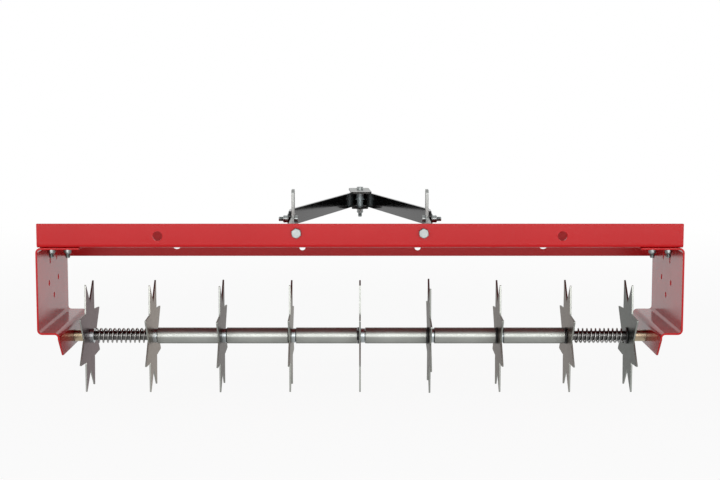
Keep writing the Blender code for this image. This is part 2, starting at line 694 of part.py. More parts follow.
def build_hitch_bolts(zinc, parent):
    """Bolts with nuts of the hitch brackets' feet, on the rear lip, and of their floor tabs."""
    for hand, side in (("left", -1), ("right", 1)):
        bm = bmesh.new()
        nutted_bolt(bm, (0, 0, 0), (0, 1, 0), LARGE_BOLT, TRAY_SHEET + UPRIGHT_SHEET + 3 * FIT, washer=None)
        place = (side * FOOT_BOLT_SPREAD / 2, -HALF_DEPTH - FIT, REAR_LIP_Z - LIP_BOLT_EDGE)
        add_object(f"lip_bolt_{hand}", bm, zinc, place, parent)
    for hand, (x, y) in zip(("left", "right"), tab_bolt_spots()):
        bm = bmesh.new()
        nutted_bolt(bm, (0, 0, 0), (0, 0, -1), SMALL_BOLT, TRAY_SHEET + UPRIGHT_SHEET + 3 * FIT)
        add_object(f"floor_bolt_{hand}", bm, zinc, (x, y, FLOOR_Z + UPRIGHT_SHEET + 2 * FIT), parent)


def build_pivots(zinc, parent):
    """Pivot bolts with heads inside the uprights, and lock nuts with washers outside the yoke."""
    head_x = UPRIGHT_X - UPRIGHT_SHEET / 2 - FIT
    washer_x = TAB_X + YOKE_SHEET / 2 + FIT
    length = washer_x - head_x + WASHER_SHEET + SMALL_NUT + THREAD_END
    for hand, side in (("left", -1), ("right", 1)):
        along = (side, 0, 0)
        bm = bmesh.new()
        plain_bolt(bm, (0, 0, 0), along, SMALL_BOLT, length)
        add_object(f"pivot_bolt_{hand}", bm, zinc, (side * head_x, PIVOT_FORWARD, PIVOT_Z), parent)
        bm = bmesh.new()
        washered_nut(bm, (0, 0, 0), along, SMALL_BOLT)
        add_object(f"pivot_nut_{hand}", bm, zinc, (side * washer_x, PIVOT_FORWARD, PIVOT_Z), parent)


def yoke_outline():
    """Plan of the yoke about its pivot: two parallel tabs, arms that close in and a round nose."""
    curl = NOSE_BEND + YOKE_SHEET / 2
    forward = NOSE_REACH - YOKE_TAB
    slant = atan2(TAB_X, forward) - asin(curl / hypot(TAB_X, forward))
    apex = YOKE_TAB + TAB_X / tan(slant)
    path = [(TAB_X, -YOKE_TAIL), (TAB_X, YOKE_TAB), (0, apex), (-TAB_X, YOKE_TAB), (-TAB_X, -YOKE_TAIL)]
    return bent_outline(path, YOKE_SHEET, [YOKE_BEND, NOSE_BEND, YOKE_BEND])


def build_yoke(black, parent):
    """The drawbar: one strap bent to a V on the pivot empty, with a plate under its nose."""
    half = YOKE_HEIGHT / 2
    bm = bmesh.new()
    prism(bm, yoke_outline(), "Z", -half, half)

    def tail_corner(middle, direction):
        return middle.y < -YOKE_TAIL + FIT and abs(abs(middle.z) - half) < FIT and abs(direction.x) > 0.99

    round_edges(bm, tail_corner, YOKE_CORNER)
    yoke = add_object("drawbar_yoke", bm, black, parent=parent)
    cutters = bmesh.new()
    through = 3 * YOKE_SHEET
    hole = bore(SMALL_THREAD, BOLT_SIDES)
    for side in (-1, 1):
        rod(cutters, (side * (TAB_X - through / 2), 0, 0), (side, 0, 0), hole, through)
    cut(yoke, cutters, parent)

    bm = bmesh.new()
    top = -half - FIT
    wide, long = NOSE_PLATE_WIDTH / 2, NOSE_PLATE_LENGTH / 2
    outline = [(-wide, NOSE_REACH - long), (wide, NOSE_REACH - long), (wide, NOSE_REACH + long),
               (-wide, NOSE_REACH + long)]
    prism(bm, outline, "Z", top - NOSE_PLATE_SHEET, top)
    round_edges(bm, lambda middle, direction: abs(direction.z) > 0.99, HITCH_CORNER)
    plate = add_object("nose_plate", bm, black, parent=parent)
    cutters = bmesh.new()
    rod(cutters, (0, NOSE_REACH, top - 2 * NOSE_PLATE_SHEET), (0, 0, 1), bore(SMALL_THREAD, BOLT_SIDES),
        3 * NOSE_PLATE_SHEET)
    cut(plate, cutters, parent)


def build_nose(zinc, parent):
    """Nose bolt with its nut, and the washered sleeve round it, inside the bend of the yoke."""
    half = YOKE_HEIGHT / 2
    head_z = half + FIT + HITCH_SHEET + FIT
    grip = head_z + half + FIT + NOSE_PLATE_SHEET + FIT
    bm = bmesh.new()
    nutted_bolt(bm, (0, 0, 0), (0, 0, -1), SMALL_BOLT, grip)
    add_object("nose_bolt", bm, zinc, (0, NOSE_REACH, head_z), parent)
    hole = bore(SMALL_THREAD, WASHER_SIDES)
    low, high = -NOSE_WASHER_SHEET / 2, NOSE_WASHER_SHEET / 2
    profile = ((SLEEVE_RADIUS, -half), (SLEEVE_RADIUS, low), (NOSE_WASHER_RADIUS, low),
               (NOSE_WASHER_RADIUS, high), (SLEEVE_UPPER_RADIUS, high), (SLEEVE_UPPER_RADIUS, half),
               (hole, half), (hole, -half))
    bm = bmesh.new()
    skin(bm, [circle(radius, z, WASHER_SIDES) for radius, z in profile], closed=True)
    add_object("nose_sleeve", bm, zinc, (0, NOSE_REACH, 0), parent)


def build_hitch_plate(zinc, parent):
    """The hitch plate, which turns about the nose bolt on top of the yoke."""
    swivel = bpy.data.objects.new("hitch_axis", None)
    swivel.location = (0, NOSE_REACH, YOKE_HEIGHT / 2 + FIT)
    swivel.rotation_euler.z = HITCH_TURN
    swivel.parent = parent
    bpy.context.collection.objects.link(swivel)
    wide, long = HITCH_WIDTH / 2, HITCH_LENGTH / 2
    bm = bmesh.new()
    prism(bm, [(-wide, -long), (wide, -long), (wide, long), (-wide, long)], "Z", 0, HITCH_SHEET)
    round_edges(bm, lambda middle, direction: abs(direction.z) > 0.99, HITCH_CORNER)
    plate = add_object("hitch_plate", bm, zinc, parent=swivel)
    cutters = bmesh.new()
    start, through = -HITCH_SHEET, 3 * HITCH_SHEET
    rod(cutters, (0, 0, start), (0, 0, 1), bore(SMALL_THREAD, BOLT_SIDES), through)
    rod(cutters, (0, HITCH_PIN_FORWARD, start), (0, 0, 1), HITCH_PIN_HOLE / 2, through, SHAFT_SIDES)
    cut(plate, cutters, swivel)


def main():
    """Clear the scene and build every piece."""
    for item in list(bpy.data.objects):
        bpy.data.objects.remove(item, do_unlink=True)

    red = material("red_gloss", (0.55, 0.03, 0.03), 0.25, 0.0)
    black = material("black_gloss", (0.01, 0.01, 0.01), 0.2, 0.0)
    zinc = material("bright_zinc", (0.62, 0.62, 0.60), 0.3, 1.0)
    star_zinc = material("warm_zinc", (0.42, 0.40, 0.37), 0.4, 1.0)
    satin_zinc = material("satin_zinc", (0.55, 0.56, 0.55), 0.3, 1.0)
    yellow = material("yellow_zinc", (0.62, 0.50, 0.25), 0.3, 1.0)
    steel = material("dark_steel", (0.12, 0.12, 0.12), 0.4, 1.0)

    machine = bpy.data.objects.new("aerator", None)
    machine.location.y = -CENTRE_Y
    bpy.context.collection.objects.link(machine)
    pivot = bpy.data.objects.new("drawbar_axis", None)
    pivot.location = (0, PIVOT_FORWARD, PIVOT_Z)
    pivot.parent = machine
    bpy.context.collection.objects.link(pivot)

    build_tray(red, machine)
    build_end_bracket("end_bracket_left", -1, red, machine)
    build_end_bracket("end_bracket_right", 1, red, machine)
    build_bracket_bolts(zinc, machine)
    build_axle(steel, yellow, zinc, machine)
    build_stars(star_zinc, black, machine)
    build_tubes(satin_zinc, machine)
    build_springs(steel, machine)
    build_hitch_bracket("hitch_bracket_left", -1, zinc, machine)
    build_hitch_bracket("hitch_bracket_right", 1, zinc, machine)
    build_hitch_bolts(zinc, machine)
    build_pivots(zinc, machine)
    build_yoke(black, pivot)
    build_nose(zinc, pivot)
    build_hitch_plate(zinc, pivot)


main()
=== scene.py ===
"""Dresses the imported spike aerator: every sheet, star, tube, spring and bolt, its finish and the studio.

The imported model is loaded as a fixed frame. Each sub-assembly is a class that reads its places from the
frame's boxes, shapes its pieces in metres and puts them on the bodies that carry them.
"""

from __future__ import annotations

import logging
import math
from dataclasses import dataclass, field
from enum import Enum
from typing import Callable, Iterable, Sequence

import bmesh
import bpy
from mathutils import Matrix, Vector

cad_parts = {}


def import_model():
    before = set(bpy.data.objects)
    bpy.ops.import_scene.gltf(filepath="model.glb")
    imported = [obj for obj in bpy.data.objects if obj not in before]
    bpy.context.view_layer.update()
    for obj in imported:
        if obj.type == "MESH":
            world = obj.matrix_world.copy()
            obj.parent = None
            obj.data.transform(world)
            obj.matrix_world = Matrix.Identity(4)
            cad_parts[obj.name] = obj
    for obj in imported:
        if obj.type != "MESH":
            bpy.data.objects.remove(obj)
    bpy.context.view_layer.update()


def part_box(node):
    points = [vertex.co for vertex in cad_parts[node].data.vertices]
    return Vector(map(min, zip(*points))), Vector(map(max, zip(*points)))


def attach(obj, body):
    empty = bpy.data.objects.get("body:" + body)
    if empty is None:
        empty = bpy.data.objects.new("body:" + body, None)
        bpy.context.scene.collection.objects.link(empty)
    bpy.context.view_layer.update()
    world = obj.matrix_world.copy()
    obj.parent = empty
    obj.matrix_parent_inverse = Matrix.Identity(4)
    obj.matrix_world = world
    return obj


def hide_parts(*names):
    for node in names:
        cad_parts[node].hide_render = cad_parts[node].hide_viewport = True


LOG = logging.getLogger("aerator")
Triple = tuple[float, float, float]
Colour = Triple
Profile = list[tuple[float, float]]
VERT, EDGE, Material = bmesh.types.BMVert, bmesh.types.BMEdge, bpy.types.Material
X_AXIS, Y_AXIS, Z_AXIS = Vector((1, 0, 0)), Vector((0, 1, 0)), Vector((0, 0, 1))

# Places closer than this are the same, and shapes that join overlap by it.
FIT = 0.0003
# The broken edge of a sheet, and the radii of the holes for both bolts and for the axle.
BROKEN_EDGE = 0.0004
SMALL_HOLE, LARGE_HOLE, AXLE_BORE = 0.0043, 0.0051, 0.0083
# The red powder's colour and its cloud's.
REDS = (0.52, 0.010, 0.013), (0.45, 0.008, 0.010)
# How many sides a drilled hole and a turned piece have.
HOLE_SIDES, TURNED_SIDES = 40, 56


class Slot(Enum):
    """The record's material slots."""

    RED = "red"
    BLACK = "black"
    BRIGHT_ZINC = "bright_zinc"
    STAR_ZINC = "star_zinc"
    TUBE_ZINC = "tube_zinc"
    YELLOW_ZINC = "yellow_zinc"
    DARK_STEEL = "dark_steel"
    BLACK_NYLON = "black_nylon"


class Hand(Enum):
    """The side of the machine, with the sign of its x."""

    LEFT = -1
    RIGHT = 1

    @property
    def word(self) -> str:
        """The side's name as the nodes spell it."""
        return self.name.lower()


@dataclass
class Wire:
    """A shader socket that takes part in arithmetic."""

    graph: "Graph"
    socket: bpy.types.NodeSocket

    def _maths(self, operation: str, first: "Wire | float", second: "Wire | float") -> "Wire":
        """Add one Math node and return its result."""
        return self.graph.node("ShaderNodeMath", {"operation": operation}, {0: first, 1: second})

    def __add__(self, other: "Wire | float") -> "Wire":
        """Sum with a value or another wire."""
        return self._maths("ADD", self, other)

    def __radd__(self, other: float) -> "Wire":
        """Sum with a value on the left."""
        return self._maths("ADD", other, self)

    def __sub__(self, other: "Wire | float") -> "Wire":
        """Difference from a value or another wire."""
        return self._maths("SUBTRACT", self, other)

    def __rsub__(self, other: float) -> "Wire":
        """A value less this wire."""
        return self._maths("SUBTRACT", other, self)

    def __mul__(self, other: "Wire | float") -> "Wire":
        """Product with a value or another wire."""
        return self._maths("MULTIPLY", self, other)

    def __rmul__(self, other: float) -> "Wire":
        """Product with a value on the left."""
        return self._maths("MULTIPLY", other, self)

    def __abs__(self) -> "Wire":
        """This wire without its sign."""
        return self.graph.node("ShaderNodeMath", {"operation": "ABSOLUTE"}, {0: self})


class Graph:
    """A node tree, of a material or of the world, built from values and wires."""

    def __init__(self, tree: bpy.types.NodeTree, shader: str = "Principled BSDF") -> None:
        """Take up a tree and its shader.

        Args:
            tree: the material's or the world's tree.
            shader: the name of the shader node that the tree has from the start.
        """
        self.tree = tree
        self.shader = tree.nodes[shader]

    @classmethod
    def material(cls, name: str) -> tuple["Graph", Material]:
        """Start a material.

        Args:
            name: the material's name.

        Returns:
            Its graph and the material itself.
        """
        made = bpy.data.materials.new(name)
        made.use_nodes = True
        return cls(made.node_tree), made

    def node(self, kind: str, settings: dict, sockets: dict, output: int | str = 0) -> Wire:
        """Add any node.

        Args:
            kind: the node's type.
            settings: its attributes, which are set first.
            sockets: values or wires by input name or number.
            output: which output to return.

        Returns:
            The chosen output as a wire.
        """
        made = self.tree.nodes.new(kind)
        for name, value in settings.items():
            setattr(made, name, value)
        for key, value in sockets.items():
            self.feed(made.inputs[key], value)
        return Wire(self, made.outputs[output])

    def feed(self, socket: bpy.types.NodeSocket, value: "Wire | float | Sequence[float]") -> None:
        """Link a wire to a socket, or set the socket's value.

        Args:
            socket: the input.
            value: a wire, a number, a vector or a colour.
        """
        if isinstance(value, Wire):
            self.tree.links.new(value.socket, socket)
        elif isinstance(value, tuple) and len(value) == 3 and len(socket.default_value) == 4:
            socket.default_value = (*value, 1.0)
        else:
            socket.default_value = value

    def place(self, stretch: Triple = (1.0, 1.0, 1.0)) -> Wire:
        """Object coordinates, stretched along the axes."""
        coordinates = self.node("ShaderNodeTexCoord", {}, {}, "Object")
        return self.node("ShaderNodeMapping", {}, {"Vector": coordinates, "Scale": stretch})

    def part(self, vector: Wire, axis: int) -> Wire:
        """One axis of a vector."""
        return self.node("ShaderNodeSeparateXYZ", {}, {"Vector": vector}, axis)

    def noise(self, scale: float, detail: float = 3.0, where: Wire | None = None) -> Wire:
        """Noise from 0 to 1 at a scale in cells a metre."""
        sockets = {"Vector": where or self.place(), "Scale": scale, "Detail": detail}
        return self.node("ShaderNodeTexNoise", {}, sockets)

    def ramp(self, value: Wire, low: float, high: float) -> Wire:
        """A value stretched so that low is 0 and high is 1."""
        sockets = {"Value": value, "From Min": low, "From Max": high}
        return self.node("ShaderNodeMapRange", {"clamp": True}, sockets)

    def blend(self, factor: "Wire | float", low: "Wire | Colour", high: "Wire | Colour") -> Wire:
        """Mix two colours."""
        return self.node("ShaderNodeMix", {"data_type": "RGBA"}, {0: factor, 6: low, 7: high}, 2)

    def bump(self, height: Wire, strength: float, distance: float) -> Wire:
        """A normal roughened by a height."""
        sockets = {"Height": height, "Strength": strength, "Distance": distance}
        return self.node("ShaderNodeBump", {}, sockets)

    def seen(self) -> Wire:
        """1 where a ray comes from the camera, a mirror or through glass."""
        rays = ("Is Camera Ray", "Is Glossy Ray", "Is Transmission Ray")
        return sum(self.node("ShaderNodeLightPath", {}, {}, ray) for ray in rays)

    def dress(self, **sockets: "Wire | float | Sequence[float]") -> None:
        """Feed the tree's shader; a socket's name has _ for its spaces."""
        for name, value in sockets.items():
            self.feed(self.shader.inputs[name.replace("_", " ")], value)

    def show(self, factor: Wire, glow: Wire, end: str) -> None:
        """Mix the tree's shader with a glow and show the result.

        Args:
            factor: how much of the glow is shown.
            glow: the glow's shader.
            end: the name of the tree's output node.
        """
        own = Wire(self, self.shader.outputs[0])
        mixed = self.node("ShaderNodeMixShader", {}, {0: factor, 1: own, 2: glow})
        self.feed(self.tree.nodes[end].inputs["Surface"], mixed)


@dataclass(frozen=True)
class PowderCoat:
    """Baked gloss powder on sheet steel: an even colour with a faint cloud, fine specks and orange peel.

    Where the sheet lies flat, handling dulls the gloss by matt_top.
    """

    name: str
    colour: Colour
    shade: Colour
    gloss: float = 0.20
    sheen: float = 0.15
    matt_top: float = 0.0

    def build(self) -> Material:
        """Make the material.

        Returns:
            The material.
        """
        graph, made = Graph.material(self.name)
        cloud = graph.ramp(graph.noise(scale=7.0, detail=2.0), low=0.3, high=0.7)
        speck = graph.ramp(graph.noise(scale=2600.0, detail=1.0), low=0.70, high=0.80)
        colour = graph.blend(cloud * 0.5 + speck * 0.25, self.colour, self.shade)
        peel = graph.noise(scale=520.0, detail=2.0) + graph.noise(scale=1500.0, detail=1.0) * 0.35
        normal = graph.node("ShaderNodeNewGeometry", {}, {}, "Normal")
        upward = graph.ramp(graph.part(normal, 2), low=0.90, high=0.97)
        rough = graph.noise(scale=40.0) * 0.08 + upward * self.matt_top + (self.gloss - 0.04)
        graph.dress(Base_Color=colour, Roughness=rough, Specular_IOR_Level=self.sheen,
                    Normal=graph.bump(peel, strength=0.06, distance=0.0002))
        return made


@dataclass(frozen=True)
class ZincPlate:
    """Plated steel: a metal whose passivation clouds and tints it, with fine drawn or rolled lines.

    A sheet may have painted light on its cut edges: a painted glint on the star plates and painted shade on
    the hitch plate. These edges lie between its two faces, so they are found by the distance from the
    sheet's middle plane.
    """

    name: str
    colour: Colour
    tint: Colour
    rough: float
    rim: Colour = (1.0, 1.0, 1.0)
    lines: Triple = (1.0, 1.0, 1.0)
    depth: float = 0.06
    # Colour painted on the cut edges as painted light: a painted glint or painted shade.
    edge: Colour | None = None
    axis: int = 0
    middle: float = 0.0
    half: float = 0.001
    metal: float = 1.0

    def build(self) -> Material:
        """Make the material.

        Returns:
            The material.
        """
        graph, made = Graph.material(self.name)
        cloud = graph.ramp(graph.noise(scale=38.0, detail=4.0), low=0.32, high=0.68)
        grain = graph.noise(scale=900.0, where=graph.place(self.lines))
        mottle = graph.ramp(graph.noise(scale=260.0), low=0.35, high=0.75)
        dull = tuple(0.8 * part for part in self.colour)
        colour = graph.blend(mottle * 0.3, graph.blend(cloud, self.colour, self.tint), dull)
        # Paint the cut edges with the edge colour: painted light, not the plating's own colour.
        if self.edge:
            off_middle = abs(graph.part(graph.place(), self.axis) - self.middle)
            inside = graph.ramp(off_middle, low=0.70 * self.half, high=0.86 * self.half)
            colour = graph.blend(inside, self.edge, colour)
        rough = grain * 0.12 + mottle * 0.06 + (self.rough - 0.09)
        graph.dress(Base_Color=colour, Metallic=self.metal, Roughness=rough, Specular_Tint=self.rim,
                    Normal=graph.bump(grain, strength=self.depth, distance=0.0002))
        return made


@dataclass(frozen=True)
class Nylon:
    """Moulded black nylon with a fine satin skin."""

    name: str
    colour: Colour

    def build(self) -> Material:
        """Make the material.

        Returns:
            The material.
        """
        graph, made = Graph.material(self.name)
        grain = graph.noise(scale=1400.0, detail=2.0)
        light = tuple(2.2 * part for part in self.colour)
        colour = graph.blend(graph.ramp(graph.noise(scale=120.0), low=0.4, high=0.8), self.colour, light)
        graph.dress(Base_Color=colour, Roughness=grain * 0.2 + 0.35,
                    Normal=graph.bump(grain, strength=0.1, distance=0.0001))
        return made


Finish = PowderCoat | ZincPlate | Nylon
# The finish of each slot. Every star has its own.
FINISHES: dict[Slot, Finish] = {
    Slot.RED: PowderCoat("red_powder_coat", *REDS),
    Slot.BLACK: PowderCoat("black_gloss_paint", (0.003, 0.003, 0.003), (0.006, 0.006, 0.006), 0.12, 0.25),
    Slot.BRIGHT_ZINC: ZincPlate("bright_zinc_plate", (0.33, 0.35, 0.345), (0.25, 0.27, 0.265), 0.34),
    Slot.TUBE_ZINC: ZincPlate("tube_zinc_plate", (0.34, 0.35, 0.33), (0.30, 0.31, 0.29), 0.37,
                              rim=(0.25, 0.25, 0.25), lines=(0.12, 1.0, 1.0), metal=0.88),
    Slot.YELLOW_ZINC: ZincPlate("yellow_zinc_plate", (0.39, 0.34, 0.22), (0.36, 0.28, 0.20), 0.32),
    Slot.DARK_STEEL: ZincPlate("oiled_spring_steel", (0.075, 0.073, 0.070), (0.10, 0.098, 0.095), 0.22),
    Slot.BLACK_NYLON: Nylon("black_nylon", (0.006, 0.006, 0.006)),
}


def only(items: Iterable, kind: type) -> list:
    """The items of one kind of bmesh element."""
    return [item for item in items if isinstance(item, kind)]


class Form:
    """One piece's mesh while it is shaped with bmesh operators."""

    def __init__(self) -> None:
        """Start with an empty mesh."""
        self.bm = bmesh.new()

    def strip(self, path: Sequence[Vector], sweep: Vector) -> list[EDGE]:
        """Extrude a bent line into a sheet.

        Args:
            path: the line's corners.
            sweep: how far and which way it is drawn out.

        Returns:
            The sheet's fold edges, in the path's order.
        """
        verts = [self.bm.verts.new(point) for point in path]
        far = self.pull([self.bm.edges.new(pair) for pair in zip(verts, verts[1:])], sweep)[0]
        return [edge for vert in verts[1:-1] for edge in vert.link_edges if edge.other_vert(vert) in far]

    def pull(self, edges: Sequence[EDGE], reach: Vector) -> tuple[list, list]:
        """Extrude edges.

        Args:
            edges: the edges.
            reach: how far and which way they are drawn out.

        Returns:
            The new vertices and the new edges.
        """
        grown = bmesh.ops.extrude_edge_only(self.bm, edges=edges)["geom"]
        verts = only(grown, VERT)
        bmesh.ops.translate(self.bm, vec=reach, verts=verts)
        return verts, only(grown, EDGE)

    def ring(self, radius: float, sides: int, where: Matrix) -> list[EDGE]:
        """Make the open ring that a wire starts from.

        Args:
            radius: the wire's radius.
            sides: how many sides it has.
            where: the move from flat on the Z axis.

        Returns:
            Its edges.
        """
        verts = bmesh.ops.create_circle(self.bm, cap_ends=False, segments=sides, radius=radius,
                                        matrix=where)["verts"]
        return list({edge for vert in verts for edge in vert.link_edges})

    def sweep(self, edges: Sequence[EDGE], reach: Vector, pivot: Vector, axis: Vector,
              angle: float, steps: int, advance: float = 0.0) -> list[EDGE]:
        """Draw edges out straight and then round an axis.

        Args:
            edges: the edges.
            reach: how far and which way they are first drawn out.
            pivot: a point on the axis.
            axis: the axis that they then turn round.
            angle: how far they turn.
            steps: in how many steps.
            advance: how far each step takes them along X.

        Returns:
            The edges at the end.
        """
        verts, rim = self.pull(edges, reach)
        spun = bmesh.ops.spin(self.bm, geom=verts + rim, cent=pivot, axis=axis, angle=angle, steps=steps,
                              dvec=(advance, 0, 0), use_duplicate=False, use_merge=False)
        return only(spun["geom_last"], EDGE)

    def bend(self, folds: Iterable[EDGE], radius: float, segments: int = 8) -> None:
        """Round the folds of a sheet.

        Args:
            folds: the fold edges.
            radius: the radius of the sheet's middle line.
            segments: how many steps each bend has.
        """
        for fold in folds:
            offset = radius * math.tan(fold.calc_face_angle() / 2)
            bmesh.ops.bevel(self.bm, geom=[fold], offset=offset, segments=segments, profile=0.5,
                            affect="EDGES", material=-1, clamp_overlap=False)

    def corners(self, chosen: Callable[[Vector], bool], radius: float, segments: int = 6) -> None:
        """Round or, with one segment, cut corners of the outline.

        Args:
            chosen: says of a place whether the corner there is one of them.
            radius: the radius, or the length that is cut off.
            segments: how many steps each corner has.
        """
        verts = [vert for vert in self.bm.verts if chosen(vert.co)]
        bmesh.ops.bevel(self.bm, geom=verts, offset=radius, segments=segments, profile=0.5,
                        affect="VERTICES", material=-1, clamp_overlap=False)

    def turned(self, profile: Profile, sides: int = TURNED_SIDES, closed: bool = True) -> None:
        """Spin a profile round the Z axis.

        Args:
            profile: radii and heights.
            sides: how many steps the turn has.
            closed: whether the profile runs back to its start, as round a bore.
        """
        verts = [self.bm.verts.new((radius, 0, height)) for radius, height in profile]
        pairs = list(zip(verts, verts[1:])) + ([(verts[-1], verts[0])] if closed else [])
        edges = [self.bm.edges.new(pair) for pair in pairs]
        bmesh.ops.spin(self.bm, geom=verts + edges, cent=(0, 0, 0), axis=Z_AXIS, angle=2 * math.pi,
                       steps=sides, use_merge=True, use_duplicate=False)
        if not closed:
            bmesh.ops.remove_doubles(self.bm, verts=self.bm.verts[:], dist=1e-6)

    def drum(self, radius: float, low: float, high: float, sides: int = HOLE_SIDES) -> list:
        """Make a capped cylinder on the Z axis.

        Args:
            radius: its radius.
            low: its lower end.
            high: its upper end.
            sides: how many sides it has.

        Returns:
            Its vertices.
        """
        middle = Matrix.Translation((0, 0, (low + high) / 2))
        return bmesh.ops.create_cone(self.bm, cap_ends=True, segments=sides, radius1=radius, radius2=radius,
                                     depth=high - low, matrix=middle)["verts"]

    def hexagon(self, flats: float, low: float, high: float, cones: Sequence[bool]) -> None:
        """Make a hexagonal block on the Z axis.

        Args:
            flats: its width across flats.
            low: its lower end.
            high: its upper end.
            cones: whether the lower and the upper end's corners are turned to a cone.
        """
        sides, crown, slope = 36, flats / 2 * 0.94, math.tan(math.radians(30))
        made = self.drum(crown, low, high, sides)
        caps = {face for vert in made for face in vert.link_faces if len(face.verts) == sides}
        bmesh.ops.inset_region(self.bm, faces=list(caps), thickness=0.0002, use_even_offset=True)
        for vert in made:
            angle = math.atan2(vert.co.y, vert.co.x)
            off_corner = (angle + math.pi / 6) % (math.pi / 3) - math.pi / 6
            reach = flats / 2 / math.cos(math.pi / 6 - abs(off_corner))
            upper = vert.co.z > (low + high) / 2
            drop = (reach - crown) * slope if cones[upper] else 0.0
            height = (high - drop) if upper else (low + drop)
            vert.co = Vector((reach * math.cos(angle), reach * math.sin(angle), height))

    def place(self, matrix: Matrix) -> None:
        """Move the whole form."""
        bmesh.ops.transform(self.bm, matrix=matrix, verts=self.bm.verts)

    def add(self, other: "Form", matrix: Matrix | None = None) -> None:
        """Join another form into this one.

        Args:
            other: the other form.
            matrix: where it goes.
        """
        mesh = bpy.data.meshes.new("joined")
        other.bm.to_mesh(mesh)
        if matrix:
            mesh.transform(matrix)
        self.bm.from_mesh(mesh)
        bpy.data.meshes.remove(mesh)

    def mesh(self, name: str) -> bpy.types.Mesh:
        """Close the form into a mesh with its faces pointing out.

        Args:
            name: the mesh's name.

        Returns:
            The mesh.
        """
        bmesh.ops.recalc_face_normals(self.bm, faces=self.bm.faces)
        mesh = bpy.data.meshes.new(name)
        self.bm.to_mesh(mesh)
        self.bm.free()
        return mesh


def laid_out(name: str, data: bpy.types.ID) -> bpy.types.Object:
    """Put data in the scene.

    Args:
        name: its object's name.
        data: a mesh, a lamp or a camera.

    Returns:
        Its object.
    """
    item = bpy.data.objects.new(name, data)
    bpy.context.scene.collection.objects.link(item)
    return item


def aimed(at: Sequence[float], along: Sequence[float]) -> Matrix:
    """The move that takes the Z axis to a direction through a point."""
    return Matrix.Translation(at) @ Z_AXIS.rotation_difference(Vector(along)).to_matrix().to_4x4()


def centre(node: str) -> Vector:
    """The middle of a node's box."""
    low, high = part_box(node)
    return (low + high) / 2


def lying(node: str) -> tuple[Matrix, float, float]:
    """Read how a round piece lies along X.

    Args:
        node: its node.

    Returns:
        The move that takes the Z axis to its middle line, its radius and its length.
    """
    low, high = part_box(node)
    middle = (low + high) / 2
    return aimed((low.x, middle.y, middle.z), X_AXIS), (high.z - low.z) / 2, high.x - low.x


def drill(cutter: Form, at: Sequence[float], along: Vector, radius: float, through: float) -> None:
    """Add a round hole to a cutter.

    Args:
        cutter: the joined shapes that are cut out of a piece.
        at: the hole's centre.
        along: its axis.
        radius: its radius.
        through: its length.
    """
    bit = Form()
    bit.drum(radius, -through / 2, through / 2)
    cutter.add(bit, aimed(at, along))


@dataclass
class Workshop:
    """Turns forms into finished pieces that ride on bodies and stand for nodes."""

    materials: dict[Finish, Material] = field(default_factory=dict)
    made: int = 0

    def piece(self, form: Form, name: str, slot: Slot, body: str, nodes: Sequence[str], sheet: float = 0.0,
              cutter: Form | None = None, edge: float = 0.0, finish: Finish | None = None,
              angle: float = 35.0) -> None:
        """Finish one piece.

        Args:
            form: its shape.
            name: its name.
            slot: the record's slot that it takes its finish from.
            body: the body that it rides on.
            nodes: the nodes that it stands for.
            sheet: the thickness given to an open sheet, even on both sides of it.
            cutter: what is cut out of it.
            edge: the width of its broken edges.
            finish: its own finish, where it isn't the slot's.
            angle: the angle in degrees from which an edge shows as sharp.
        """
        item = laid_out(name, form.mesh(name))
        if sheet:
            self.modify(item, "SOLIDIFY", thickness=sheet, offset=0.0, use_even_offset=True)
        tool = laid_out(name + "_cutter", cutter.mesh(name + "_cutter")) if cutter else None
        if tool:
            self.modify(item, "BOOLEAN", operation="DIFFERENCE", object=tool)
        if edge:
            self.modify(item, "BEVEL", width=edge, segments=2, limit_method="ANGLE",
                        angle_limit=math.radians(50), use_clamp_overlap=True)
        self.apply(item)
        if tool:
            spare = tool.data
            bpy.data.objects.remove(tool)
            bpy.data.meshes.remove(spare)
        item.data.materials.clear()
        item.data.materials.append(self.material(finish or FINISHES[slot]))
        item.data.shade_smooth()
        item.data.set_sharp_from_angle(angle=math.radians(angle))
        if edge:
            # The large faces keep their flat shading beside the broken edges.
            self.modify(item, "WEIGHTED_NORMAL", keep_sharp=True, weight=90)
            self.apply(item)
        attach(item, body)
        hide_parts(*nodes)
        self.made += 1
        LOG.info("%s on %s, %d faces", name, body, len(item.data.polygons))

    def material(self, finish: Finish) -> Material:
        """Build a finish when it is first asked for, and hand out the same material after that.

        Args:
            finish: the finish.

        Returns:
            Its material.
        """
        if finish not in self.materials:
            self.materials[finish] = finish.build()
        return self.materials[finish]

    @staticmethod
    def modify(item: bpy.types.Object, kind: str, **settings: object) -> None:
        """Add a modifier.

        Args:
            item: the object.
            kind: the modifier's type.
            settings: its attributes.
        """
        made = item.modifiers.new(kind.lower(), kind)
        for name, value in settings.items():
            setattr(made, name, value)

    @staticmethod
    def apply(item: bpy.types.Object) -> None:
        """Apply an object's modifiers.

        Args:
            item: the object.
        """
        bpy.context.view_layer.update()
        old = item.data
        worked = item.evaluated_get(bpy.context.evaluated_depsgraph_get())
        item.data = bpy.data.meshes.new_from_object(worked)
        item.data.name = item.name
        item.modifiers.clear()
        bpy.data.meshes.remove(old)


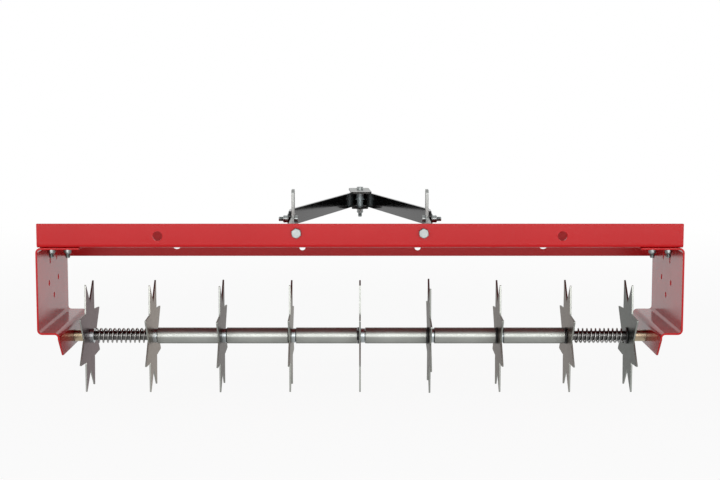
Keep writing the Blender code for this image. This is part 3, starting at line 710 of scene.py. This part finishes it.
@dataclass
class Tray:
    """The red weight tray: one sheet, rear lip up and front lip down."""

    shop: Workshop
    bolt_nodes: Sequence[str]
    sheet: float = 0.0027
    bend: float = 0.0025
    rear_lip: float = 0.038
    lip_corner: float = 0.0012
    lip_hole: float = 0.015
    lip_hole_spread: float = 0.636
    lip_hole_edge: float = 0.0193
    bolt_hole_spread: float = 0.200
    bolt_hole_edge: float = 0.0147
    bolt_hole: float = 0.0102
    coat: PowderCoat = PowderCoat("red_tray_coat", *REDS, matt_top=0.70)

    def build(self) -> None:
        """Bend the sheet, cut its holes and paint it."""
        low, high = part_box("tray")
        half = self.sheet / 2
        floor_z = high.z - self.rear_lip + half
        path = [Vector((low.x, low.y + half, high.z)), Vector((low.x, low.y + half, floor_z)),
                Vector((low.x, high.y - half, floor_z)), Vector((low.x, high.y - half, low.z))]
        form = Form()
        folds = form.strip(path, Vector((high.x - low.x, 0, 0)))
        form.corners(lambda co: co.z > high.z - FIT or co.z < low.z + FIT, self.lip_corner)
        form.bend(folds, self.bend + half)
        cutter = Form()
        through = 3 * self.sheet
        holes = ((self.lip_hole_spread, self.lip_hole_edge, self.lip_hole),
                 (self.bolt_hole_spread, self.bolt_hole_edge, self.bolt_hole))
        for hand in Hand:
            for spread, edge, hole in holes:
                x = hand.value * spread / 2
                drill(cutter, (x, low.y + half, high.z - edge), Y_AXIS, hole / 2, through)
                drill(cutter, (x, high.y - half, low.z + edge), Y_AXIS, hole / 2, through)
        for node in self.bolt_nodes:
            spot = centre(node)
            drill(cutter, (spot.x, spot.y, floor_z), Z_AXIS, SMALL_HOLE, through)
        self.shop.piece(form, "tray_sheet", Slot.RED, "frame", ["tray"], self.sheet, cutter, BROKEN_EDGE,
                        self.coat)


@dataclass
class EndBracket:
    """A red end bracket: top flange, side plate, step and skirt."""

    shop: Workshop
    hand: Hand
    bolt_nodes: Sequence[str]
    sheet: float = 0.003
    bend: float = 0.005
    flange_reach: float = 0.0684
    step_reach: float = 0.0354
    skirt_drop: float = 0.038
    skirt_cut: float = 0.030
    bushing_hole: float = 0.0099
    drain_hole: float = 0.0095
    drain_spread: float = 0.076
    drain_drops: tuple[float, float] = (0.068, 0.093)
    slot_spread: float = 0.054
    slot_drop: float = 0.030
    slot_size: tuple[float, float] = (0.007, 0.015)

    def build(self) -> None:
        """Bend the bracket, cut its openings and paint it."""
        node = f"end_bracket_{self.hand.word}"
        low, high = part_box(node)
        side, half, axle = self.hand.value, self.sheet / 2, centre("axle")
        outer = max(abs(low.x), abs(high.x)) - half
        skirt = outer - self.step_reach + self.sheet
        top, step = high.z - half, low.z + self.skirt_drop + half
        path = [(outer + half - self.flange_reach, top), (outer, top), (outer, step), (skirt, step),
                (skirt, low.z)]
        form = Form()
        folds = form.strip([Vector((side * x, low.y, z)) for x, z in path], Vector((0, high.y - low.y, 0)))
        form.corners(lambda co: co.z < low.z + FIT, self.skirt_cut, 1)
        form.bend(folds, self.bend + half)
        cutter, through = Form(), 4 * self.sheet
        upper, lower = (high.z - drop for drop in self.drain_drops)
        for end in (-1, 1):
            drain_y, slot_y = (axle.y + end * spread / 2 for spread in (self.drain_spread, self.slot_spread))
            drill(cutter, (side * outer, drain_y, upper), X_AXIS, self.drain_hole / 2, through)
            self.slot(cutter, Vector((side * outer, slot_y, high.z - self.slot_drop)))
        drill(cutter, (side * outer, axle.y, lower), X_AXIS, self.drain_hole / 2, through)
        drill(cutter, (side * skirt, axle.y, axle.z), X_AXIS, self.bushing_hole, through)
        for spot in map(centre, self.bolt_nodes):
            if spot.x * side > 0:
                drill(cutter, (spot.x, spot.y, top), Z_AXIS, SMALL_HOLE, through)
        self.shop.piece(form, f"bracket_plate_{self.hand.word}", Slot.RED, "frame", [node], self.sheet,
                        cutter, BROKEN_EDGE)

    def slot(self, cutter: Form, at: Vector) -> None:
        """Add an upright slot with round ends to a cutter.

        Args:
            cutter: the joined shapes that are cut out of the bracket.
            at: the slot's centre.
        """
        width, height = self.slot_size
        bit = Form()
        for vert in bit.drum(width / 2, -2 * self.sheet, 2 * self.sheet):
            vert.co.y += (height - width) / 2 * (1 if vert.co.y > 0 else -1)
        turn = Matrix(((0, 0, 1, 0), (1, 0, 0, 0), (0, 1, 0, 0), (0, 0, 0, 1)))
        cutter.add(bit, Matrix.Translation(at) @ turn)


def ring_profile(bore: float, radius: float, low: float, wide: float, outer: float,
                 inner: float = 0.0) -> Profile:
    """Profile of a ring: a washer, a bushing or a tube.

    Args:
        bore: the radius of its bore.
        radius: its own radius.
        low: the height of its lower face.
        wide: its height or length.
        outer: the width of its outer broken edges.
        inner: the width of the ones at its bore, where they are broken too.

    Returns:
        Radii and heights round its section.
    """
    top = low + wide
    corners = [(bore, low + inner), (bore + inner, low), (radius - outer, low), (radius, low + outer),
               (radius, top - outer), (radius - outer, top), (bore + inner, top), (bore, top - inner)]
    return list(dict.fromkeys(corners))


@dataclass(frozen=True)
class BoltSize:
    """A bolt's thread radius, width across flats, head height, nut height and pitch."""

    thread: float
    flats: float
    head: float
    nut: float
    pitch: float


SMALL_BOLT = BoltSize(thread=0.00395, flats=0.0127, head=0.0053, nut=0.0075, pitch=0.0012)
LARGE_BOLT = BoltSize(thread=0.00475, flats=0.0143, head=0.0062, nut=0.0083, pitch=0.0014)


@dataclass
class Bolt:
    """A hex bolt, with or without its nut and washer, or a nut and washer alone, in the place of its node.

    The grip, from under the head to the washer or nut, is given where there is a nut. The washer's radius
    is 0 where there is none.
    """

    shop: Workshop
    size: BoltSize
    node: str
    along: Triple = (0, 0, -1)
    body: str = "frame"
    grip: float | None = None
    headed: bool = True
    twist: float = 0.0
    washer: float = 0.0092
    washer_sheet: float = 0.0016
    washer_edge: float = 0.0004
    washer_sides: int = 40
    ease: float = 0.0002
    thread_sides: int = 28
    collar_sides: int = 32
    finish: Finish | None = None

    def build(self) -> None:
        """Turn the bolt and its nut and plate them."""
        low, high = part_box(self.node)
        along, size = Vector(self.along), self.size
        span = abs((high - low).dot(along))
        head = size.head if self.headed else 0.0
        seat, length = (low + high) / 2 + along * (head - span / 2), span - head
        form = Form()
        if self.headed:
            form.hexagon(size.flats, -head, 0.0, (True, False))
            plain = length * 0.4 if self.grip is None else self.grip
            form.turned(self.shank(plain, length), self.thread_sides, closed=False)
        if self.grip is not None:
            form.add(self.lock_nut(self.grip + (self.washer_sheet if self.washer else 0.0)))
            if self.washer:
                form.turned(ring_profile(size.thread + self.ease, self.washer, self.grip, self.washer_sheet,
                                         self.washer_edge), self.washer_sides)
        form.place(aimed(seat, along) @ Matrix.Rotation(self.twist, 4, "Z"))
        self.shop.piece(form, self.node + "_plated", Slot.BRIGHT_ZINC, self.body, [self.node],
                        finish=self.finish, angle=28.0)

    def shank(self, thread_from: float, length: float) -> Profile:
        """Profile of the shank: plain, then threaded to a chamfered end.

        Args:
            thread_from: where the thread starts, from under the head.
            length: the shank's length.

        Returns:
            Radii and heights from the head to the end.
        """
        radius, pitch = self.size.thread, self.size.pitch
        depth, relief = 0.55 * pitch, 0.0001
        root, plain = radius - depth, radius - relief
        profile = [(0.0, -FIT), (plain, -FIT), (plain, thread_from)]
        height = thread_from
        while height + pitch < length - pitch:
            profile += [(root, height + pitch * 0.5), (radius, height + pitch)]
            height += pitch
        return profile + [(root, length - pitch * 0.4), (root * 0.9, length), (0.0, length)]

    def lock_nut(self, low: float) -> Form:
        """Shape a lock nut on the Z axis: a hexagonal block below a round collar.

        Args:
            low: its lower end.

        Returns:
            Its form.
        """
        top, gap, collar, rolled = low + self.size.nut, 0.0001, 0.0019, 0.0008
        outer, bore, lip = self.size.flats / 2 * 0.93, self.size.thread + gap, top - collar
        nut = Form()
        nut.hexagon(self.size.flats, low + gap, lip + gap, (True, True))
        nut.turned([(bore, lip), (outer, lip), (outer, top - rolled), (outer * 0.88, top),
                    (bore * 1.05, top)], self.collar_sides)
        return nut


# How each star is plated, from left to right: its colour, its cloud's, and its turn in degrees.
STAR_LOOKS = (
    ((0.20, 0.15, 0.16), (0.17, 0.13, 0.14), -1.9),
    ((0.38, 0.34, 0.29), (0.34, 0.30, 0.26), -0.8),
    ((0.12, 0.12, 0.11), (0.11, 0.10, 0.09), 0.4),
    ((0.28, 0.28, 0.24), (0.25, 0.25, 0.21), -1.1),
    ((0.22, 0.22, 0.21), (0.20, 0.20, 0.19), -1.4),
    ((0.07, 0.07, 0.06), (0.06, 0.06, 0.05), 5.2),
    ((0.14, 0.12, 0.10), (0.12, 0.11, 0.09), -1.2),
    ((0.26, 0.24, 0.21), (0.23, 0.21, 0.19), -0.3),
    ((0.14, 0.17, 0.16), (0.13, 0.15, 0.14), -1.0),
)


@dataclass
class StarWheel:
    """A spiked star with its hub collar and thrust ring."""

    shop: Workshop
    number: int
    spikes: int = 8
    radius: float = 0.0955
    root: float = 0.056
    valley: float = 0.0012
    flank: float = 0.004
    plate: float = 0.0027
    plate_edge: float = 0.0003
    tip: float = 0.0017
    hub: float = 0.012
    hub_edge: float = 0.0008
    hub_gap: float = 0.0001
    ring: float = 0.0028
    ring_edge: float = 0.0006
    rough: float = 0.34
    depth: float = 0.05
    # Painted highlight: the star plates' cut edges are lighter than their faces, a painted glint.
    sheared: Colour = (0.27, 0.28, 0.26)
    rim: Colour = (0.58, 0.56, 0.55)
    rolled: Triple = (1.0, 0.35, 3.0)
    hub_plating: ZincPlate = ZincPlate("hub_zinc_plate", (0.48, 0.52, 0.53), (0.42, 0.46, 0.47), 0.32)

    def build(self) -> None:
        """Make the star with its collar on one side and its ring on the other."""
        node, body, axle = f"star_{self.number}", f"star_wheel_{self.number}", centre("axle")
        low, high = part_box(node)
        colour, tint, turn = STAR_LOOKS[self.number - 1]
        # The star is drawn flat round Z, and stands on the axle with its Z along X.
        stand = Matrix.Translation((low.x, axle.y, axle.z)) @ Matrix.Rotation(math.radians(turn), 4, "X")
        stand = stand @ Matrix(((0, 0, 1, 0), (0, 1, 0, 0), (-1, 0, 0, 0), (0, 0, 0, 1)))
        half = self.plate / 2
        # The finish paints the glint colour on the plate's cut edges.
        finish = ZincPlate(f"star_plate_{self.number}", colour, tint, self.rough, self.rim, self.rolled,
                           self.depth, self.sheared, 0, low.x + half, half)
        plate, cutter, hub, ring = self.outline(), Form(), Form(), Form()
        cutter.drum(AXLE_BORE, -self.plate, 2 * self.plate)
        bore, edge, base, top = AXLE_BORE, self.hub_edge, self.plate + self.hub_gap, high.x - low.x
        hub.turned([(bore, base), (self.hub, base), (self.hub, top - edge), (self.hub - edge, top),
                    (bore + edge, top), (bore, top - edge)])
        for form in (plate, cutter, hub):
            form.place(stand)
        self.shop.piece(plate, f"star_plate_{self.number}", Slot.STAR_ZINC, body, [node], 0.0, cutter,
                        self.plate_edge, finish, angle=30.0)
        self.shop.piece(hub, f"hub_collar_{self.number}", Slot.BRIGHT_ZINC, body, [node],
                        finish=self.hub_plating)
        ring_node = f"thrust_ring_{self.number}"
        low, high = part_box(ring_node)
        ring.turned(ring_profile(bore, (high.y - low.y) / 2, 0.0, self.ring, self.ring_edge))
        ring.place(aimed((low.x, axle.y, axle.z), X_AXIS))
        self.shop.piece(ring, f"ring_{self.number}", Slot.BLACK_NYLON, body, [ring_node])

    def outline(self) -> Form:
        """Draw one spike and copy it round.

        Returns:
            The spiked plate, flat on the Z axis and one plate thick.
        """
        form = Form()
        step = 2 * math.pi / self.spikes
        corner = Vector((self.root * math.cos(step / 2), self.root * math.sin(step / 2), 0))
        tip = Vector((self.radius, self.tip / 2, 0))
        start = corner + (tip - corner).normalized() * self.flank
        floor = corner - corner.normalized() * self.valley
        line = [floor, start, tip] + [Vector((point.x, -point.y, 0)) for point in (tip, start, floor)]
        verts = [form.bm.verts.new(point) for point in line]
        edges = [form.bm.edges.new(pair) for pair in zip(verts, verts[1:])]
        bmesh.ops.spin(form.bm, geom=verts + edges, cent=(0, 0, 0), axis=Z_AXIS, angle=2 * math.pi,
                       steps=self.spikes, use_duplicate=True, use_merge=False)
        bmesh.ops.remove_doubles(form.bm, verts=form.bm.verts[:], dist=1e-5)
        bmesh.ops.rotate(form.bm, cent=(0, 0, 0), matrix=Matrix.Rotation(step / 2, 3, "Z"),
                         verts=form.bm.verts[:])
        face = bmesh.ops.contextual_create(form.bm, geom=form.bm.edges[:])["faces"]
        grown = bmesh.ops.extrude_face_region(form.bm, geom=face)["geom"]
        bmesh.ops.translate(form.bm, vec=(0, 0, self.plate), verts=only(grown, VERT))
        return form


@dataclass
class AxleLine:
    """What runs through the stars: axle, bushings, end washers, cotter pins, tubes and springs."""

    shop: Workshop
    chamfer: float = 0.0013
    bushing_edge: float = 0.0008
    washer_bore: float = 0.0084
    tube_bore: float = 0.0105
    tube_edge: float = 0.0005
    tube_sides: int = 72
    cotter_hole: float = 0.0021
    cotter_radius: float = 0.0016
    cotter_eye: float = 0.0042
    cotter_angle: float = 1.55 * math.pi
    cotter_steps: int = 26
    spring_wire: float = 0.0028
    spring_turns: float = 11.5
    spring_steps: int = 32
    elbow_steps: int = 6
    wire_sides: int = 14
    wire_steel: ZincPlate = ZincPlate("drawn_spring_wire", (0.36, 0.36, 0.35), (0.30, 0.30, 0.29), 0.30)

    def build(self) -> None:
        """Make every piece on the axle's line."""
        self.axle()
        for hand in Hand:
            side = hand.word
            self.turned(f"bushing_{side}", f"bushing_sleeve_{side}", Slot.YELLOW_ZINC, "frame", self.bushing)
            self.turned(f"axle_washer_{side}", f"axle_end_washer_{side}", Slot.BRIGHT_ZINC, "axle",
                        self.washer)
            self.cotter(side)
            self.spring(side)
        for number in range(1, 7):
            self.turned(f"spacer_tube_{number}", f"spacer_{number}", Slot.TUBE_ZINC, f"tube_{number}",
                        self.tube, self.tube_sides)

    def bushing(self, radius: float, length: float) -> Profile:
        """Profile of a bushing."""
        return ring_profile(AXLE_BORE, radius, 0.0, length, self.bushing_edge, self.bushing_edge)

    def washer(self, radius: float, length: float) -> Profile:
        """Profile of the washer between a bushing and its cotter pin."""
        return ring_profile(self.washer_bore, radius, 0.0, length, length * 0.25)

    def tube(self, radius: float, length: float) -> Profile:
        """Profile of a spacer tube with its cut ends broken."""
        return ring_profile(self.tube_bore, radius, 0.0, length, self.tube_edge, self.tube_edge)

    def turned(self, node: str, name: str, slot: Slot, body: str, profile: Callable[[float, float], Profile],
               sides: int = TURNED_SIDES) -> None:
        """Turn a hollow piece.

        Args:
            node: the node that it stands for.
            name: its name.
            slot: the record's slot that it takes its finish from.
            body: the body that it rides on.
            profile: gives its profile for its radius and length.
            sides: how many sides it has.
        """
        where, radius, length = lying(node)
        form = Form()
        form.turned(profile(radius, length), sides)
        form.place(where)
        self.shop.piece(form, name, slot, body, [node])

    def axle(self) -> None:
        """Turn the axle, with chamfered ends, and drill its cotter holes."""
        where, radius, length = lying("axle")
        cut, middle = self.chamfer, centre("axle")
        form = Form()
        form.turned([(0.0, 0.0), (radius - cut, 0.0), (radius, cut), (radius, length - cut),
                     (radius - cut, length), (0.0, length)], closed=False)
        form.place(where)
        cutter = Form()
        for hand in Hand:
            spot = centre(f"cotter_pin_{hand.word}")
            drill(cutter, (spot.x, middle.y, middle.z), Z_AXIS, self.cotter_hole, 5 * radius)
        self.shop.piece(form, "axle_bar", Slot.DARK_STEEL, "axle", ["axle"], cutter=cutter)

    def cotter(self, side: str) -> None:
        """Form a cotter pin: a straight leg drawn out, and an eye turned round its own centre.

        Args:
            side: the side's name.
        """
        node = f"cotter_pin_{side}"
        low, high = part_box(node)
        x, y = (low.x + high.x) / 2, centre("axle").y
        eye = high.z - self.cotter_eye - self.cotter_radius
        form = Form()
        first = form.ring(self.cotter_radius * 0.97, self.wire_sides, Matrix.Translation((x, y, low.z)))
        last = form.sweep(first, Vector((0, 0, eye - self.cotter_eye - low.z)), Vector((x, y, eye)), X_AXIS,
                          self.cotter_angle, self.cotter_steps)
        for rim in (first, last):
            bmesh.ops.edgeloop_fill(form.bm, edges=rim)
        self.shop.piece(form, f"cotter_wire_{side}", Slot.BRIGHT_ZINC, "axle", [node])

    def spring(self, side: str) -> None:
        """Wind a compression spring: a wire ring spun round the axle, its ends bent square to their seats.

        Args:
            side: the side's name.
        """
        node = f"spring_{side}"
        low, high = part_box(node)
        axle, wire = centre("axle"), self.spring_wire / 2
        elbow, seat = wire * 1.25, wire * 0.9
        steps = round(self.spring_turns * self.spring_steps)
        form = Form()
        # The first ring of the wire stands at the top of the axle, a little past its bent end.
        start = Matrix.Translation((low.x + elbow + seat, axle.y, high.z - wire))
        first = form.ring(wire, self.wire_sides, start @ Matrix.Rotation(math.pi / 2, 4, "X"))
        last = form.sweep(first, Vector(), Vector((low.x, axle.y, axle.z)), -X_AXIS,
                          2 * math.pi * self.spring_turns, steps,
                          (high.x - low.x - 2 * elbow - 2 * seat) / steps)
        for rim, into in ((first, -X_AXIS), (last, X_AXIS)):
            verts = {vert for edge in rim for vert in edge.verts}
            middle = sum((vert.co for vert in verts), Vector()) / len(verts)
            out = Vector((0, middle.y - axle.y, middle.z - axle.z)).normalized()
            end = form.sweep(rim, Vector(), middle + into * elbow, out * into.x, math.pi / 2,
                             self.elbow_steps)
            bmesh.ops.edgeloop_fill(form.bm, edges=end)
        bmesh.ops.remove_doubles(form.bm, verts=form.bm.verts[:], dist=1e-7)
        self.shop.piece(form, f"coil_{side}", Slot.DARK_STEEL, "axle", [node], finish=self.wire_steel,
                        angle=60.0)


@dataclass
class HitchBracket:
    """A plated hitch bracket: plate along the floor, upright, foot on the lip and floor tab."""

    shop: Workshop
    hand: Hand
    sheet: float = 0.0048
    bend: float = 0.003
    width: float = 0.030
    corner: float = 0.007
    foot_height: float = 0.029
    foot_reach: float = 0.030
    tab_reach: float = 0.030
    edge: float = 0.0005
    plating: ZincPlate = ZincPlate("satin_zinc_bracket", (0.30, 0.31, 0.30), (0.28, 0.29, 0.28), 0.45,
                                   depth=0.02)

    def build(self) -> None:
        """Cut the plate's outline, fold its foot and tab, and plate it."""
        node = f"hitch_bracket_{self.hand.word}"
        low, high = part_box(node)
        side, half = self.hand.value, self.sheet / 2
        plate_x = side * (max(abs(low.x), abs(high.x)) - half)
        inner_y = low.y + half
        rear = high.y - self.width
        base = low.z + half
        foot_top = low.z + self.foot_height - FIT
        form = Form()
        line = [(inner_y, base), (rear, base), (high.y, base), (high.y, high.z), (rear, high.z),
                (rear, foot_top), (inner_y, foot_top)]
        verts = [form.bm.verts.new((plate_x, y, z)) for y, z in line]
        form.bm.faces.new(verts)
        foot_fold = form.bm.edges.get((verts[-1], verts[0]))
        tab_fold = form.bm.edges.get((verts[1], verts[2]))
        form.pull([foot_fold], Vector((-side * (self.foot_reach - half), 0, 0)))
        form.pull([tab_fold], Vector((-side * (self.tab_reach + half), 0, 0)))
        free = abs(plate_x) - self.sheet
        form.corners(lambda co: co.z > high.z - FIT or abs(co.x) < free, self.corner)
        form.bend([foot_fold, tab_fold], self.bend / 2 + half)
        cutter = Form()
        through = 4 * self.sheet
        pivot, foot, tab = (centre(f"{bolt}_{self.hand.word}")
                            for bolt in ("pivot_bolt", "lip_bolt", "floor_bolt"))
        drill(cutter, (plate_x, pivot.y, pivot.z), X_AXIS, SMALL_HOLE, through)
        drill(cutter, (foot.x, inner_y, foot.z), Y_AXIS, LARGE_HOLE, through)
        drill(cutter, (tab.x, tab.y, base), Z_AXIS, SMALL_HOLE, through)
        self.shop.piece(form, f"hitch_upright_{self.hand.word}", Slot.BRIGHT_ZINC, "frame", [node],
                        self.sheet, cutter, self.edge, self.plating)


@dataclass
class FlatPlate:
    """A flat plate on the nose bolt, with rounded corners and round holes.

    Each hole has its place from the plate's middle and its radius. The plate's width and length are given
    where it is turned about the bolt, so that its box doesn't show them.
    """

    shop: Workshop
    node: str
    name: str
    slot: Slot
    body: str
    holes: Sequence[Triple]
    turn: float = 0.0
    size: tuple[float, float] | None = None
    finish: Finish | None = None
    corner: float = 0.005

    def build(self) -> None:
        """Cut the plate's outline and its holes."""
        low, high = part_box(self.node)
        wide, long = self.size or (high.x - low.x, high.y - low.y)
        sheet = high.z - low.z
        form = Form()
        shape = Matrix.Translation((low + high) / 2) @ Matrix.Rotation(self.turn, 4, "Z")
        bmesh.ops.create_grid(form.bm, x_segments=1, y_segments=1, size=0.5,
                              matrix=Matrix.Diagonal((wide, long, 1.0, 1.0)))
        form.corners(lambda co: True, self.corner)
        form.place(shape)
        cutter = Form()
        for x, y, radius in self.holes:
            drill(cutter, shape @ Vector((x, y, 0.0)), Z_AXIS, radius, 4 * sheet)
        self.shop.piece(form, self.name, self.slot, self.body, [self.node], sheet, cutter, BROKEN_EDGE,
                        self.finish)


@dataclass
class Drawbar:
    """The black forked drawbar with its nose plate and sleeve."""

    shop: Workshop
    sheet: float = 0.0048
    tail: float = 0.014
    tab: float = 0.030
    tab_bend: float = 0.0224
    nose_bend: float = 0.012
    corner: float = 0.010
    edge: float = 0.0006
    reach: float = 0.388
    sleeve_lower: float = 0.006
    sleeve_upper: float = 0.0072
    sleeve_edge: float = 0.0004
    sleeve_sides: int = 48
    washer: float = 0.009
    washer_half: float = 0.0008
    sleeve_plating: ZincPlate = ZincPlate("blue_zinc_sleeve", (0.60, 0.70, 0.72), (0.52, 0.61, 0.63), 0.42,
                                          metal=0.4)

    def build(self) -> None:
        """Bend the strap, and shape the plate and the sleeve at its nose."""
        low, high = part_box("drawbar_yoke")
        pivot = centre("pivot_bolt_right")
        tab_x = high.x - self.sheet / 2
        forward = self.reach - self.tab
        slant = math.atan2(tab_x, forward) - math.asin(self.nose_bend / math.hypot(tab_x, forward))
        apex = self.tab + tab_x / math.tan(slant)
        line = [(tab_x, -self.tail), (tab_x, self.tab), (0.0, apex), (-tab_x, self.tab), (-tab_x, -self.tail)]
        form = Form()
        path = [Vector((x, pivot.y + y, low.z)) for x, y in line]
        first, nose, last = form.strip(path, Vector((0, 0, high.z - low.z)))
        form.corners(lambda co: co.y < pivot.y - self.tail + FIT, self.corner, 8)
        form.bend([first, last], self.tab_bend)
        form.bend([nose], self.nose_bend, 24)
        cutter = Form()
        for hand in Hand:
            drill(cutter, (hand.value * tab_x, pivot.y, pivot.z), X_AXIS, SMALL_HOLE, 4 * self.sheet)
        self.shop.piece(form, "drawbar_strap", Slot.BLACK, "drawbar", ["drawbar_yoke"], self.sheet, cutter,
                        self.edge)
        FlatPlate(self.shop, "nose_plate", "drawbar_nose_plate", Slot.BLACK, "drawbar",
                  [(0.0, 0.0, SMALL_HOLE)]).build()
        self.sleeve()

    def sleeve(self) -> None:
        """The sleeve round the nose bolt, with the washer between its two lengths."""
        low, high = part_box("nose_sleeve")
        spot = centre("nose_bolt")
        height, edge, washer = high.z - low.z, self.sleeve_edge, self.washer
        under, over = height / 2 - self.washer_half, height / 2 + self.washer_half
        form = Form()
        form.turned([(SMALL_HOLE, 0.0), (self.sleeve_lower - edge, 0.0), (self.sleeve_lower, edge),
                     (self.sleeve_lower, under), (washer - edge, under), (washer, under + edge),
                     (washer, over - edge), (washer - edge, over), (self.sleeve_upper, over),
                     (self.sleeve_upper, height - edge), (self.sleeve_upper - edge, height),
                     (SMALL_HOLE, height)], self.sleeve_sides)
        form.place(Matrix.Translation((spot.x, spot.y, low.z)))
        self.shop.piece(form, "nose_sleeve_turned", Slot.BRIGHT_ZINC, "drawbar", ["nose_sleeve"],
                        finish=self.sleeve_plating)


@dataclass(frozen=True)
class SoftLamp:
    """An area lamp: its distance in metres, height and heading in degrees, size in metres, and watts.

    The heading is the way from what it lights to the lamp on the floor, from straight ahead.
    """

    name: str
    away: float
    height: float
    heading: float
    size: tuple[float, float]
    power: float

    def hang(self, aim: Vector) -> None:
        """Hang the lamp, facing a point.

        Args:
            aim: the point.
        """
        data = bpy.data.lights.new(self.name, "AREA")
        data.shape = "RECTANGLE"
        data.size, data.size_y = self.size
        data.energy = self.power
        lamp = laid_out(self.name, data)
        rise, bearing = math.radians(self.height), math.radians(self.heading)
        flat = math.cos(rise)
        out = Vector((flat * math.sin(bearing), flat * math.cos(bearing), math.sin(rise)))
        lamp.location = aim + out * self.away
        lamp.rotation_euler = (-out).to_track_quat("-Z", "Y").to_euler()
        lamp.visible_camera = False


@dataclass
class Studio:
    """The pale floor, the soft lamps and the camera behind the machine."""

    focal_pixels: float = 1530.0
    frame_pixels: float = 720.0
    sensor: float = 36.0
    pitch: float = 6.50
    back_off: float = 2.386
    lift: float = 0.2463
    floor_size: float = 30.0
    floor_white: float = 0.92
    fade_from: float = 0.9
    fade_to: float = 2.6
    room: float = 0.36
    lamps: Sequence[SoftLamp] = (
        SoftLamp("strip_softbox", 2.6, 22.5, 180.0, (3.2, 0.32), 25.0),
        SoftLamp("low_panel", 3.0, 3.0, 180.0, (3.2, 0.5), 30.0),
    )

    def build(self) -> None:
        """Set everything that isn't the machine."""
        self.camera()
        self.floor()
        self.world()
        for lamp in self.lamps:
            lamp.hang(centre("axle"))
        bpy.context.scene.view_settings.view_transform = "Standard"

    def camera(self) -> None:
        """Set the camera behind the machine, square to the rear lip and looking a little down."""
        low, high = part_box("tray")
        data = bpy.data.cameras.new("camera")
        data.sensor_width = self.sensor
        data.lens = self.focal_pixels / self.frame_pixels * self.sensor
        camera = laid_out("camera", data)
        camera.location = (0.0, low.y - self.back_off, high.z + self.lift)
        camera.rotation_euler = (math.radians(90 - self.pitch), 0.0, 0.0)
        bpy.context.scene.camera = camera

    def floor(self) -> None:
        """Lay a white floor that keeps a soft shadow near the machine and fades into the backdrop."""
        form = Form()
        bmesh.ops.create_grid(form.bm, x_segments=1, y_segments=1, size=self.floor_size)
        floor = laid_out("floor", form.mesh("floor"))
        graph, made = Graph.material("pale_floor")
        graph.dress(Base_Color=(0.80, 0.80, 0.80), Roughness=0.9, Specular_IOR_Level=0.1)
        away = graph.node("ShaderNodeVectorMath", {"operation": "LENGTH"}, {0: graph.place()}, "Value")
        fade = graph.ramp(away, self.fade_from, self.fade_to)
        white = graph.seen() * (self.floor_white + fade * (1.0 - self.floor_white))
        glow = graph.node("ShaderNodeEmission", {}, {"Color": (1.0, 1.0, 1.0), "Strength": 1.0})
        graph.show(white, glow, "Material Output")
        floor.data.materials.append(made)

    def world(self) -> None:
        """Make the world white to the camera, mirrors and glass, and a soft room to everything else."""
        world = bpy.data.worlds.new("studio")
        bpy.context.scene.world = world
        world.use_nodes = True
        graph = Graph(world.node_tree, "Background")
        graph.dress(Color=(1.0, 1.0, 1.0), Strength=self.room)
        white = graph.node("ShaderNodeBackground", {}, {"Color": (1.0, 1.0, 1.0), "Strength": 1.0})
        graph.show(graph.seen(), white, "World Output")


def hitch_plate(shop: Workshop) -> FlatPlate:
    """Size the hitch plate, whose cut edges are painted near black as painted shade.

    Args:
        shop: the workshop.

    Returns:
        The plate.
    """
    low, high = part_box("hitch_plate")
    # Painted shade: the plate's cut edges are painted near black.
    plating = ZincPlate("hitch_zinc_plate", (0.32, 0.33, 0.32), (0.26, 0.27, 0.26), 0.40,
                        edge=(0.02, 0.02, 0.02), axis=2, middle=(low.z + high.z) / 2,
                        half=(high.z - low.z) / 2)
    holes = [(0.0, 0.0, SMALL_HOLE), (0.0, 0.030, 0.0065)]
    return FlatPlate(shop, "hitch_plate", "hitch_tongue_plate", Slot.BRIGHT_ZINC, "hitch", holes,
                     math.radians(3.5), (0.039, 0.095), plating)


def main() -> None:
    """Load the frame and build every class in order."""
    logging.basicConfig(level=logging.INFO, format="%(name)s: %(message)s")
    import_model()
    Studio().build()
    shop = Workshop()
    bracket_bolts = [f"bracket_bolt_{number}" for number in range(1, 9)]
    Tray(shop, bracket_bolts + [f"floor_bolt_{hand.word}" for hand in Hand]).build()
    for hand in Hand:
        EndBracket(shop, hand, bracket_bolts).build()
    for node in bracket_bolts:
        Bolt(shop, SMALL_BOLT, node, grip=0.0066).build()
    for number in range(1, len(STAR_LOOKS) + 1):
        StarWheel(shop, number).build()
    AxleLine(shop).build()
    # Painted shade: the lip bolts take a darker copy of the bolt plating, toning down the low panel's
    # reflection in their heads; a deeper bump mottles their faces.
    painted_shade_zinc = ZincPlate("worn_zinc_plate", (0.25, 0.265, 0.26), (0.17, 0.185, 0.18), 0.34, depth=0.10)
    for hand in Hand:
        HitchBracket(shop, hand).build()
        Bolt(shop, LARGE_BOLT, f"lip_bolt_{hand.word}", (0, 1, 0), grip=0.0084, twist=math.radians(22.0),
             washer=0.0, finish=painted_shade_zinc).build()
        Bolt(shop, SMALL_BOLT, f"floor_bolt_{hand.word}", grip=0.0084).build()
        outward = (hand.value, 0, 0)
        Bolt(shop, SMALL_BOLT, f"pivot_bolt_{hand.word}", outward).build()
        Bolt(shop, SMALL_BOLT, f"pivot_nut_{hand.word}", outward, grip=0.0, headed=False).build()
    Drawbar(shop).build()
    Bolt(shop, SMALL_BOLT, "nose_bolt", body="drawbar", grip=0.0357).build()
    hitch_plate(shop).build()
    LOG.info("%d pieces", shop.made)


if __name__ == "__main__":
    main()
